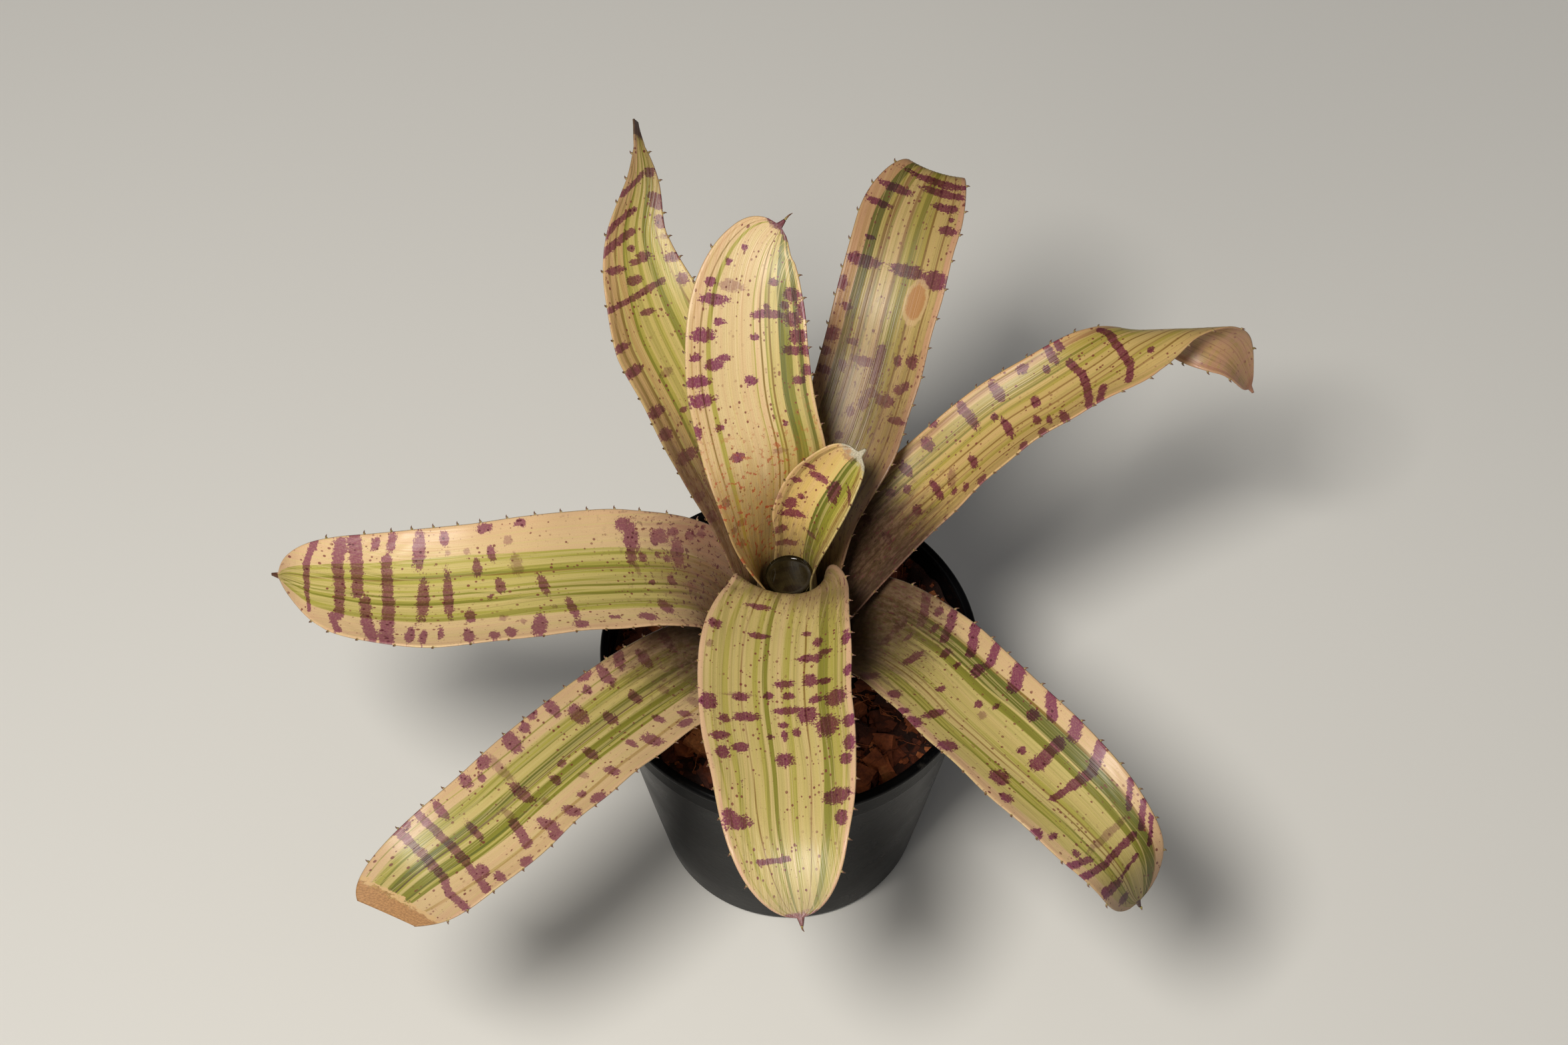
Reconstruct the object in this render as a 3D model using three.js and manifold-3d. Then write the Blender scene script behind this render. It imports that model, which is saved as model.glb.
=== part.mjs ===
// A variegated neoregelia in a round plastic nursery pot, in millimetres.
// +Z is up, the origin is the centre of the pot's flat base, and -Y is the front.
// Nine strap leaves rise in nested sheaths from a short stem, round a small tank of water.
// Every leaf is its own thin solid, with the spines of its margins in its outline.

import * as THREE from "three";
import { mergeVertices } from "three/addons/utils/BufferGeometryUtils.js";
import Module from "manifold-3d";

const wasm = await Module();
wasm.setup();

// Pot
const POT_HEIGHT = 110;
const RIM_RADIUS = 65;
const BASE_RADIUS = 46;
const POT_WALL = 1.6;
const POT_FLOOR = 2;
const RIM_LIP = { width: 3.4, height: 3.6, corner: 0.9 };
const COLLAR = { radius: 63, height: 15, step: 1.4 };
const POT_SEGMENTS = 48;
const DRAINS = { count: 8, ring: 32, radius: 4.5 };

// Husk potting mix
const MIX_TOP = -11;
const MIX_CLEARANCE = 0.5;
const MIX_SEGMENTS = 44;
const MIX_RELIEF = 1.5;
const SOCKET = { radius: 25, floorRadius: 9.6, shoulderUp: -30, floorUp: -44 };
const CHIPS = { count: 40, ringFrom: 31, ringTo: 51, long: [8, 16], broad: [5, 9], thick: [4, 6.5] };

// Stem: a squat cone inside the leaf bases, standing in the socket of the mix
const STEM = { topRadius: 5, rootRadius: 9, rootUp: -43.5, shoulder: 1.1, gap: 1.9, sides: 24 };

// Sheaths: layer 0 is the innermost leaf. Heights called up are measured from the pot's rim.
const LAYER = { firstRadius: 7.8, pitch: 1.95, firstUp: -3, drop: 2.7, flare: 0.7, flareUp: 40 };
const SHEATH = { spread: 1.2, widestWrap: THREE.MathUtils.degToRad(112), recovery: 0.35 };

// Blades
const BLADE = { middle: 1, margin: 0.7, columns: 6 };
const TOOTH = { pitch: 9.5, base: 2, length: 1.7, forward: 1.1, pastNeck: 6, beforeTip: 9 };
const MUCRO = { length: 2.6, halfWidth: 0.9, endHalfWidth: 0.2 };

// Water held in the tank
const WATER = { up: 44, radius: 7, depth: 38, azimuth: 235, offset: 0.4, sides: 28 };

// One row for each leaf: the azimuths of its blade and, where that differs, of its sheath, its
// layer, its flat width and how far its neck is drawn in, the height where it leaves the tube, the
// radius of its channelled section, and the places that the blade's midline passes through, as
// [out from the axis, to the side, up from the rim]. A funnel flattens the halves of the leaf where
// it leaves the tube. The tip narrows over taper, with a roundness of bulge and a sharpness of point.
// It may be hooded to a smaller channel, turned over into an arch, twisted, cut off short, kept to a
// least width, or skewed so that its right margin reaches further than its left.
const LEAVES = [
  {
    name: "leaf_heart", azimuth: 48, layer: 0, width: 32, neck: 0.7, throat: 50, channel: 13,
    blade: [[13.8, -1.5, 70], [20, -3, 80], [24.5, -4.6, 87], [29, -6.8, 92]],
    taper: 24, bulge: 2.2, hood: { channel: 9, over: 22 }, columns: 8,
  },
  {
    name: "leaf_back", azimuth: 98, sheath: 140, layer: 1, width: 41, neck: 0.88, throat: 50,
    channel: 36, funnel: { from: -10, over: 24, left: 0.3, right: 1 },
    blade: [[20, 5, 80], [38, 8, 104], [59, 5, 123.5], [70, -1, 132], [76, -9, 136]],
    taper: 52, bulge: 2.2, columns: 8,
  },
  {
    name: "leaf_front", azimuth: 269, sheath: 265, layer: 2, width: 50, neck: 0.74, throat: 40,
    channel: 44, funnel: { from: -10, over: 20, left: 1.1, right: 0.5 },
    blade: [
      [14.5, 0, 54], [37, -3, 64], [66, -3, 68], [91, 0, 70], [114, 1.7, 68], [137.5, 6, 56],
    ],
    taper: 100, bulge: 3.2, columns: 8,
  },
  {
    name: "leaf_back_right", azimuth: 66, sheath: 51, layer: 3, width: 36, neck: 0.82, throat: 34,
    channel: 40,
    blade: [
      [25, 0, 52], [45, -2, 66], [64, -1.5, 80], [83, 0.5, 95], [110, 3.5, 108], [127, 3.5, 111],
      [129, 3.5, 103],
    ],
    taper: 30, bulge: 2, columns: 8,
  },
  {
    name: "leaf_back_left", azimuth: 120, sheath: 130, layer: 4, width: 39, neck: 0.66, throat: 32,
    channel: 32,
    blade: [
      [28.5, 1.5, 49.5], [52.5, 3, 74], [82, 5.3, 100], [100, 1, 114], [114, -9.6, 124],
      [133, -17.5, 130],
    ],
    taper: 72, bulge: 1.15, point: 1.1, hood: { channel: 9, over: 60 },
    twist: { turn: 60, from: 14, to: 0 }, tipWidth: 3.5, columns: 8,
  },
  {
    name: "leaf_right", azimuth: 30, layer: 5, width: 33.5, neck: 1.05, throat: 22, channel: 26,
    blade: [
      [36, 0, 42], [60, 0, 59], [81, -1, 73], [99, -3, 81], [117, -4, 87.5], [131, -3.5, 90.5],
      [145, -5, 89], [159.5, -14.5, 80], [166.5, -24.5, 62.5],
    ],
    taper: 110, bulge: 2, roll: -8, twist: { turn: -114, from: 66, to: 6 },
    arch: { radius: 13, from: 84, to: 34 }, columns: 8,
  },
  {
    name: "leaf_left", azimuth: 188, sheath: 170, layer: 6, width: 47.5, neck: 0.81, throat: 20,
    channel: 46,
    blade: [
      [31, -4, 41], [51, 1.5, 56], [84, 9.5, 70], [106, 12, 73], [127, 10, 73], [148, 2.5, 72],
      [168.3, -7.3, 69],
    ],
    taper: 66, bulge: 2.6, point: 0.6, skew: { by: -14, over: 30 },
  },
  {
    name: "leaf_front_right", azimuth: 315, sheath: 347, layer: 7, width: 42, neck: 0.95, throat: 14,
    channel: 40,
    blade: [
      [31, 9.5, 31], [55, 5.8, 45], [86, -1, 56], [113, -4.5, 60], [138, -5.3, 57], [153, -5, 49],
      [161, -4.7, 31],
    ],
    taper: 66, bulge: 2, point: 0.42,
  },
  {
    name: "leaf_front_left", azimuth: 224, layer: 8, width: 40, neck: 0.9, throat: 4, channel: 40,
    blade: [
      [32, 0, 24], [65, 3, 42], [115, 8, 55], [140, 10, 56], [163, 7.6, 52], [178, 3.6, 43],
    ],
    taper: 54, bulge: 3, point: 0.42, cut: 5.8, skew: { by: -12, over: 26 },
  },
];

const COLOURS = {
  pot: 0x17181a,
  mix: 0x7a3f24,
  stem: 0x6d5a3c,
  water: 0x5d5f45,
  leaf: 0xd9cf8e,
};

// A seeded generator, so that every run scatters the chips alike.
function seeded(seed) {
  let state = seed;
  return () => {
    state = (state * 1664525 + 1013904223) % 4294967296;
    return state / 4294967296;
  };
}

function between(random, [low, high]) {
  return low + (high - low) * random();
}

function material(colour, roughness) {
  return new THREE.MeshStandardMaterial({ color: colour, roughness, metalness: 0 });
}

// A closed three.js geometry as a manifold-3d solid, and back.
function toSolid(geometry) {
  const bare = geometry.clone();
  for (const name of Object.keys(bare.attributes)) if (name !== "position") bare.deleteAttribute(name);
  const merged = mergeVertices(bare, 1e-3);
  return new wasm.Manifold(
    new wasm.Mesh({
      numProp: 3,
      vertProperties: merged.attributes.position.array,
      triVerts: new Uint32Array(merged.index.array),
    }),
  );
}

function toGeometry(solid) {
  const mesh = solid.getMesh();
  const geometry = new THREE.BufferGeometry();
  geometry.setAttribute("position", new THREE.BufferAttribute(mesh.vertProperties, 3));
  geometry.setIndex(new THREE.BufferAttribute(mesh.triVerts, 1));
  geometry.computeVertexNormals();
  return geometry;
}

// A lathe round +Z from [radius, height] pairs.
function turned(profile, segments) {
  const points = profile.map(([radius, height]) => new THREE.Vector2(radius, height));
  return new THREE.LatheGeometry(points, segments).rotateX(Math.PI / 2);
}

// The outside radius of the pot's tapered body at a height.
function bodyRadius(height) {
  const top = COLLAR.radius - COLLAR.step;
  return THREE.MathUtils.lerp(BASE_RADIUS, top, height / (POT_HEIGHT - COLLAR.height));
}

function potGeometry() {
  const { width, height, corner } = RIM_LIP;
  const inside = RIM_RADIUS - width;
  const collarBottom = POT_HEIGHT - COLLAR.height;
  const profile = [
    [0, 0],
    [BASE_RADIUS - 1.5, 0],
    [BASE_RADIUS, 1.5],
    [bodyRadius(collarBottom), collarBottom],
    [COLLAR.radius, collarBottom + COLLAR.step],
    [COLLAR.radius, POT_HEIGHT - height],
    [RIM_RADIUS - corner, POT_HEIGHT - height],
    [RIM_RADIUS, POT_HEIGHT - height + corner],
    [RIM_RADIUS, POT_HEIGHT - corner],
    [RIM_RADIUS - corner, POT_HEIGHT],
    [inside + corner, POT_HEIGHT],
    [inside, POT_HEIGHT - corner],
    [COLLAR.radius - POT_WALL, collarBottom + COLLAR.step],
    [bodyRadius(collarBottom) - POT_WALL, collarBottom - 1],
    [BASE_RADIUS - POT_WALL, POT_FLOOR],
    [0, POT_FLOOR],
  ];
  let pot = toSolid(turned(profile, POT_SEGMENTS));
  for (let i = 0; i < DRAINS.count; i++) {
    const angle = (i / DRAINS.count) * 2 * Math.PI;
    const hole = new THREE.CylinderGeometry(DRAINS.radius, DRAINS.radius, 3 * POT_FLOOR, 10)
      .rotateX(Math.PI / 2)
      .translate(DRAINS.ring * Math.cos(angle), DRAINS.ring * Math.sin(angle), 0);
    pot = pot.subtract(toSolid(hole));
  }
  return toGeometry(pot);
}

// How far the top of the mix stands above or below its level.
function relief(x, y) {
  return MIX_RELIEF * (Math.sin(0.31 * x + 1.3) * Math.cos(0.27 * y) + 0.6 * Math.sin(0.53 * y - 0.41 * x));
}

// The mix fills the pot, with a plain socket for the stem, a rough top and chips fused into it.
function mixGeometry() {
  const wall = (height) => bodyRadius(height) - POT_WALL - MIX_CLEARANCE - 0.5;
  const top = POT_HEIGHT + MIX_TOP;
  const rim = COLLAR.radius - POT_WALL - MIX_CLEARANCE - 0.5;
  const shoulder = POT_HEIGHT - COLLAR.height;
  const reach = (t) => THREE.MathUtils.lerp(SOCKET.radius, rim, t);
  const rings = [0.84, 0.68, 0.52, 0.36, 0.18].map((t) => [reach(t), top]);
  const profile = [
    [0, POT_FLOOR + MIX_CLEARANCE],
    [wall(0), POT_FLOOR + MIX_CLEARANCE],
    [wall(shoulder), shoulder - 2],
    [rim, top - 2],
    [rim, top - 0.7],
    ...rings,
    [SOCKET.radius, top],
    [SOCKET.radius, POT_HEIGHT + SOCKET.shoulderUp],
    [SOCKET.floorRadius, POT_HEIGHT + SOCKET.floorUp + 4],
    [SOCKET.floorRadius, POT_HEIGHT + SOCKET.floorUp],
    [0, POT_HEIGHT + SOCKET.floorUp],
  ];
  const geometry = turned(profile, MIX_SEGMENTS);
  const position = geometry.getAttribute("position");
  for (let i = 0; i < position.count; i++) {
    const x = position.getX(i);
    const y = position.getY(i);
    const radius = Math.hypot(x, y);
    if (position.getZ(i) < top - 0.3 || radius < SOCKET.radius + 1) continue;
    position.setZ(i, top + relief(x, y));
  }
  let mix = toSolid(geometry);
  const random = seeded(20);
  for (let i = 0; i < CHIPS.count; i++) {
    const spread = (i + random()) / CHIPS.count;
    const angle = i * THREE.MathUtils.degToRad(137.5);
    const ring = Math.sqrt(THREE.MathUtils.lerp(CHIPS.ringFrom ** 2, CHIPS.ringTo ** 2, spread));
    const size = [between(random, CHIPS.long), between(random, CHIPS.broad), between(random, CHIPS.thick)];
    const chip = chipGeometry(size, random);
    chip.rotateX(0.5 * (random() - 0.5)).rotateY(0.4 * (random() - 0.5)).rotateZ(6.28 * random());
    const x = ring * Math.cos(angle);
    const y = ring * Math.sin(angle);
    mix = mix.add(toSolid(chip.translate(x, y, top + relief(x, y) + 0.1 * size[2])));
  }
  return toGeometry(mix);
}

// A husk chip: a block with its corners drawn in by different amounts.
function chipGeometry([long, broad, thick], random) {
  const corners = Array.from({ length: 8 }, () => 0.72 + 0.28 * random());
  const chip = new THREE.BoxGeometry(long, broad, thick);
  const position = chip.getAttribute("position");
  for (let i = 0; i < position.count; i++) {
    const x = position.getX(i);
    const y = position.getY(i);
    const z = position.getZ(i);
    const shrink = corners[(x > 0 ? 1 : 0) + (y > 0 ? 2 : 0) + (z > 0 ? 4 : 0)];
    position.setXYZ(i, x * shrink, y * shrink, z);
  }
  return chip;
}

// The radius of a layer's middle surface where it starts, and where the tube ends.
function layerRadius(layer, up) {
  const start = layerUp(layer);
  const rise = THREE.MathUtils.clamp((up - start) / (LAYER.flareUp - start), 0, 1);
  return LAYER.firstRadius + LAYER.pitch * layer + LAYER.flare * rise;
}

function layerUp(layer) {
  return LAYER.firstUp - LAYER.drop * layer;
}

// The level direction to the left of an azimuth, and a place in a leaf's own terms.
function sideOf(azimuth) {
  const angle = THREE.MathUtils.degToRad(azimuth);
  return new THREE.Vector3(-Math.sin(angle), Math.cos(angle), 0);
}

function placeOf(azimuth, [out, side, up]) {
  const angle = THREE.MathUtils.degToRad(azimuth);
  return new THREE.Vector3(out * Math.cos(angle), out * Math.sin(angle), POT_HEIGHT + up)
    .addScaledVector(sideOf(azimuth), side);
}

function sheathAzimuth(leaf) {
  return leaf.sheath ?? leaf.azimuth;
}

function midline(leaf) {
  const sheath = [layerUp(leaf.layer), leaf.throat - 14, leaf.throat];
  const points = [
    ...sheath.map((up) => placeOf(sheathAzimuth(leaf), [layerRadius(leaf.layer, up), 0, up])),
    ...leaf.blade.map((place) => placeOf(leaf.azimuth, place)),
  ];
  const curve = new THREE.CatmullRomCurve3(points, false, "centripetal");
  curve.arcLengthDivisions = 600;
  return curve;
}

// The length of a leaf's sheath, from its foot to where it leaves the tube.
function neckAt(leaf) {
  return leaf.throat - layerUp(leaf.layer);
}

// Distances along a leaf where it has a row of vertices, and which gaps between rows hold a spine.
function leafRows(leaf, length) {
  const first = neckAt(leaf) + TOOTH.pastNeck;
  const plain = Math.round(first / TOOTH.pitch);
  const rows = [];
  for (let i = 0; i < plain; i++) rows.push({ at: (first * i) / plain, tooth: false });
  for (let at = first; at < length - TOOTH.beforeTip; at += TOOTH.pitch) {
    rows.push({ at: at - TOOTH.base / 2, tooth: true });
    rows.push({ at: at + TOOTH.base / 2, tooth: false });
  }
  for (const fromTip of [6.2, 4, MUCRO.length, 0]) rows.push({ at: length - fromTip, tooth: false });
  return rows;
}

// Half of the flat width at a distance along the leaf: sheath, neck, strap and tip.
function halfWidth(leaf, at, length) {
  const { smoothstep, lerp, clamp } = THREE.MathUtils;
  const neck = neckAt(leaf);
  const sheath = lerp(SHEATH.spread, leaf.neck, smoothstep(at, 0, neck));
  const strap = lerp(sheath, 1, smoothstep(at, neck, lerp(neck, length, SHEATH.recovery)));
  const end = length - MUCRO.length;
  const towardsTip = clamp(1 - (end + (leaf.cut ?? 0) - at) / leaf.taper, 0, 1);
  const taper = Math.max(1 - towardsTip ** leaf.bulge, 0) ** (leaf.point ?? 0.5);
  const mucro = at > end - 0.01 ? lerp(MUCRO.halfWidth, MUCRO.endHalfWidth, (at - end) / MUCRO.length) : 0;
  return Math.max((leaf.width / 2) * strap * taper, (leaf.tipWidth ?? 0) / 2, mucro);
}

// The curvature of the cross-section: round the axis in the tube, and the blade's channel beyond it.
function sectionCurvature(leaf, point, tangent, fromTip) {
  const tube = Math.max(tangent.z, 0) ** 2 / Math.hypot(point.x, point.y);
  const open = leaf.hood ? THREE.MathUtils.smoothstep(fromTip, 0, leaf.hood.over) : 1;
  const channel = THREE.MathUtils.lerp(leaf.hood?.channel ?? leaf.channel, leaf.channel, open);
  return (tube ** 6 + channel ** -6) ** (1 / 6);
}

// The same curvature once an arched tip has turned it over. It is never quite flat.
function archedCurvature(leaf, bend, fromTip) {
  if (!leaf.arch) return bend;
  const { radius, from, to } = leaf.arch;
  const { lerp, smoothstep } = THREE.MathUtils;
  const arched = lerp(-1 / radius, bend, smoothstep(fromTip, to, from));
  return Math.abs(arched) < 1e-4 ? 1e-4 : arched;
}

// How much flatter one half of the leaf is than the tube, where it opens into the funnel of the cup.
function funnelBend(leaf, at, sign) {
  if (!leaf.funnel) return 1;
  const { from, over, left, right } = leaf.funnel;
  const start = neckAt(leaf) + from;
  const open = sign > 0 ? left : right;
  return THREE.MathUtils.lerp(1, open, THREE.MathUtils.smoothstep(at, start, start + over));
}

// How far a place across the leaf slides along it, which slants the outline of the tip.
function tipSkew(leaf, at, length, offset) {
  if (!leaf.skew) return 0;
  const near = THREE.MathUtils.smoothstep(at, length - leaf.skew.over, length);
  return (leaf.skew.by * near * offset * 2) / leaf.width;
}

// How far the blade is turned about its midline: a steady roll past the neck and a twist at the tip.
function bladeRoll(leaf, at, length) {
  const { smoothstep, degToRad } = THREE.MathUtils;
  const steady = (leaf.roll ?? 0) * smoothstep(at, 0.25 * length, 0.6 * length);
  if (!leaf.twist) return degToRad(steady);
  const { turn, from, to } = leaf.twist;
  return degToRad(steady + turn * smoothstep(at, length - from, length - to));
}

function leafGeometry(leaf) {
  const curve = midline(leaf);
  const length = curve.getLength();
  const rows = leafRows(leaf, length);
  const columns = leaf.columns ?? BLADE.columns;
  const neck = neckAt(leaf);
  const positions = [];
  const outward = [];
  const upper = (row, column) => (row * (columns + 1) + column) * 2;
  const lower = (row, column) => upper(row, column) + 1;

  rows.forEach(({ at }) => {
    const along = at / length;
    const point = curve.getPointAt(along);
    const tangent = curve.getTangentAt(along);
    const roll = bladeRoll(leaf, at, length);
    const turned = THREE.MathUtils.smoothstep(at, neck, neck + 50);
    const side = sideOf(THREE.MathUtils.lerp(sheathAzimuth(leaf), leaf.azimuth, turned));
    const lateral = side.clone().addScaledVector(tangent, -side.dot(tangent)).normalize();
    lateral.applyAxisAngle(tangent, roll);
    const normal = new THREE.Vector3().crossVectors(tangent, lateral);
    const section = sectionCurvature(leaf, point, tangent, length - at);
    const half = Math.min(halfWidth(leaf, at, length), SHEATH.widestWrap / section);
    const bend = archedCurvature(leaf, section, length - at);
    for (let column = 0; column <= columns; column++) {
      const across = (2 * column) / columns - 1;
      const curl = bend * funnelBend(leaf, at, across);
      const turn = curl * half * across;
      const place = point
        .clone()
        .addScaledVector(lateral, Math.sin(turn) / curl)
        .addScaledVector(normal, (1 - Math.cos(turn)) / curl)
        .addScaledVector(tangent, tipSkew(leaf, at, length, half * across));
      const face = normal.clone().multiplyScalar(Math.cos(turn)).addScaledVector(lateral, -Math.sin(turn));
      const thickness = THREE.MathUtils.lerp(BLADE.middle, BLADE.margin, across ** 2);
      const above = place.clone().addScaledVector(face, thickness / 2);
      const below = place.clone().addScaledVector(face, -thickness / 2);
      positions.push(...above.toArray(), ...below.toArray());
    }
    outward.push(
      [-1, 1].map((sign) => {
        const edgeTurn = bend * half * funnelBend(leaf, at, sign);
        return lateral
          .clone()
          .multiplyScalar(sign * Math.cos(edgeTurn))
          .addScaledVector(normal, Math.sin(edgeTurn))
          .multiplyScalar(TOOTH.length)
          .addScaledVector(tangent, TOOTH.forward);
      }),
    );
  });

  const faces = [];
  const quad = (a, b, c, d) => faces.push(a, b, c, a, c, d);
  const vertex = (index) => new THREE.Vector3().fromArray(positions, 3 * index);
  const spine = (corners, direction) => {
    const tip = corners.reduce((sum, index) => sum.add(vertex(index)), new THREE.Vector3());
    tip.multiplyScalar(0.25).add(direction);
    const apex = positions.length / 3;
    positions.push(...tip.toArray());
    corners.forEach((corner, i) => faces.push(corner, corners[(i + 1) % 4], apex));
  };

  for (let row = 0; row < rows.length - 1; row++) {
    const next = row + 1;
    for (let column = 0; column < columns; column++) {
      quad(upper(row, column), upper(next, column), upper(next, column + 1), upper(row, column + 1));
      quad(lower(row, column), lower(row, column + 1), lower(next, column + 1), lower(next, column));
    }
    const right = [upper(row, 0), lower(row, 0), lower(next, 0), upper(next, 0)];
    const left = [upper(row, columns), upper(next, columns), lower(next, columns), lower(row, columns)];
    if (rows[row].tooth) {
      spine(right, outward[row][0]);
      spine(left, outward[row][1]);
    } else {
      quad(...right);
      quad(...left);
    }
  }
  const last = rows.length - 1;
  for (let column = 0; column < columns; column++) {
    quad(upper(0, column), upper(0, column + 1), lower(0, column + 1), lower(0, column));
    quad(upper(last, column), lower(last, column), lower(last, column + 1), upper(last, column + 1));
  }

  const geometry = new THREE.BufferGeometry();
  geometry.setAttribute("position", new THREE.Float32BufferAttribute(positions, 3));
  geometry.setIndex(faces);
  geometry.computeVertexNormals();
  return geometry;
}

// The stem's side follows the leaf bases down to a shoulder, then narrows to where the roots begin.
function stemGeometry() {
  const side = (radius) => {
    const layers = (radius - LAYER.firstRadius) / LAYER.pitch;
    return POT_HEIGHT + layerUp(layers) - STEM.gap;
  };
  const shoulder = layerRadius(LEAVES.length - 1, -POT_HEIGHT) + STEM.shoulder;
  const profile = [
    [0, POT_HEIGHT + STEM.rootUp],
    [STEM.rootRadius, POT_HEIGHT + STEM.rootUp],
    [STEM.rootRadius, POT_HEIGHT + STEM.rootUp + 4],
    [shoulder, side(shoulder) - 1],
    [shoulder, side(shoulder)],
    [STEM.topRadius, side(STEM.topRadius)],
    [0, side(STEM.topRadius)],
  ];
  return turned(profile, STEM.sides);
}

function waterGeometry() {
  const { up, radius, depth, azimuth, offset, sides } = WATER;
  const towards = THREE.MathUtils.degToRad(azimuth);
  const profile = [
    [0, POT_HEIGHT + up - depth],
    [radius - 1.4, POT_HEIGHT + up - depth],
    [radius, POT_HEIGHT + up - 6],
    [radius, POT_HEIGHT + up],
    [0, POT_HEIGHT + up],
  ];
  return turned(profile, sides).translate(offset * Math.cos(towards), offset * Math.sin(towards), 0);
}

function named(name, geometry, surface) {
  const mesh = new THREE.Mesh(geometry, surface);
  mesh.name = name;
  return mesh;
}

const plant = new THREE.Group();
plant.add(
  named("pot", potGeometry(), material(COLOURS.pot, 0.45)),
  named("husk_mix", mixGeometry(), material(COLOURS.mix, 0.95)),
  named("stem", stemGeometry(), material(COLOURS.stem, 0.8)),
  named("tank_water", waterGeometry(), material(COLOURS.water, 0.05)),
  ...LEAVES.map((leaf) => named(leaf.name, leafGeometry(leaf), material(COLOURS.leaf, 0.5))),
);

export default plant;
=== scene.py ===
# %% [markdown]
# # A potted neoregelia
#
# This is a bromeliad whose nine strap leaves rise in a rosette from a tight tube of sheaths. The tube
# holds water, and the plant stands in husk mix in a black plastic nursery pot. The imported solids give
# every piece its place, so this lesson starts by loading them as a fixed frame and then dresses them:
# each solid is either replaced by a finer piece or given a better finish.

# %% Load the frame and print the names of its nodes
import math
import bpy
import numpy as np
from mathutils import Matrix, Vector, noise


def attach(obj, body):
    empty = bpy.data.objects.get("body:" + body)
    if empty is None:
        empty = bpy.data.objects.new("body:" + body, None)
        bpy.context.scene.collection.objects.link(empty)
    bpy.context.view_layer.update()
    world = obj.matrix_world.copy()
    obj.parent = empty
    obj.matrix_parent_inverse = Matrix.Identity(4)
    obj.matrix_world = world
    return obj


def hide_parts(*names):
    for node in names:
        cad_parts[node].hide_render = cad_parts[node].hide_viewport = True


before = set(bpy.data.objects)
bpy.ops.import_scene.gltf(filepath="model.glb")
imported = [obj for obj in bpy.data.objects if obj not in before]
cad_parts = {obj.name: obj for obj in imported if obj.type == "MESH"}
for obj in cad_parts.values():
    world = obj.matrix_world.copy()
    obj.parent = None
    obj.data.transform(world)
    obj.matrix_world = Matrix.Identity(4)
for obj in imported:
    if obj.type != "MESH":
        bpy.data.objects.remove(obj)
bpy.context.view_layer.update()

print("nodes:", ", ".join(sorted(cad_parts)))

# %% [markdown]
# ## Working in millimetres
#
# A plant is easier to describe in millimetres than in metres, so every helper below works in
# millimetres and the last step to a mesh multiplies by one thousandth. Two curves shape nearly
# everything: a straight blend between two values, and a soft step that starts and ends gently.

# %% Millimetres, blends and soft steps
MM = 0.001


def lerp(low, high, t):
    return low + (high - low) * t


def smoothstep(value, low, high):
    t = np.clip((np.asarray(value, float) - low) / (high - low), 0, 1)
    return t * t * (3 - 2 * t)


print("half way up a soft step:", float(smoothstep(0.5, 0, 1)))

# %% [markdown]
# ## Meshes and node trees without fuss
#
# Every piece is a plain mesh at the origin, so that a pattern on Object coordinates stays where it is.
# Node trees could be drawn by hand, but a script that adds one node a line, with its settings and
# what feeds it, can be read and changed. The same helper serves shader trees and geometry trees.

# %% A mesh piece from points and faces
def make_piece(name, points, faces):
    mesh = bpy.data.meshes.new(name)
    mesh.from_pydata((np.asarray(points, float) * MM).tolist(), [], faces)
    mesh.polygons.foreach_set("use_smooth", [True] * len(mesh.polygons))
    mesh.update()
    piece = bpy.data.objects.new(name, mesh)
    bpy.context.scene.collection.objects.link(piece)
    return piece


def write_reading(mesh, name, values):
    """Keeps one number a vertex on a mesh, for a material to read."""
    mesh.attributes.new(name, "FLOAT", "POINT").data.foreach_set("value", np.ravel(values))


# %% Adding nodes to any tree
def add(tree, kind, inputs=None, **settings):
    """Adds a node. Each input is a value, or the output socket that feeds it."""
    node = tree.nodes.new(kind)
    for key, value in settings.items():
        setattr(node, key, value)
    for key, value in (inputs or {}).items():
        if isinstance(value, bpy.types.NodeSocket):
            tree.links.new(value, node.inputs[key])
        else:
            node.inputs[key].default_value = value
    return node


def calc(tree, operation, *values):
    """A Math node of either kind of tree, as its output."""
    node = add(tree, "ShaderNodeMath", dict(enumerate(values)), operation=operation)
    return node.outputs[0]


def plus(tree, first, second):
    return calc(tree, "ADD", first, second)


def less(tree, first, second):
    return calc(tree, "SUBTRACT", first, second)


def times(tree, product, *factors):
    for factor in factors:
        product = calc(tree, "MULTIPLY", product, factor)
    return product


# %% Starting a geometry tree
def geometry_tree(name, **sizes):
    """An empty geometry tree. Each size is a named input, such as Count="Int"."""
    tree = bpy.data.node_groups.new(name, "GeometryNodeTree")
    tree.interface.new_socket("Geometry", in_out="INPUT", socket_type="NodeSocketGeometry")
    tree.interface.new_socket("Geometry", in_out="OUTPUT", socket_type="NodeSocketGeometry")
    for label, kind in sizes.items():
        tree.interface.new_socket(label, in_out="INPUT", socket_type="NodeSocket" + kind)
    given = tree.nodes.new("NodeGroupInput").outputs
    return tree, given


def realize(tree, geometry):
    return add(tree, "GeometryNodeRealizeInstances", {"Geometry": geometry}).outputs[0]


def wear(tree, geometry, surface):
    return add(tree, "GeometryNodeSetMaterial", {"Geometry": geometry, "Material": surface}).outputs[0]


def end_tree(tree, geometry, surface):
    """Realizes the instances, sets the finish and ends the tree."""
    add(tree, "NodeGroupOutput", {0: wear(tree, realize(tree, geometry), surface)})


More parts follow.
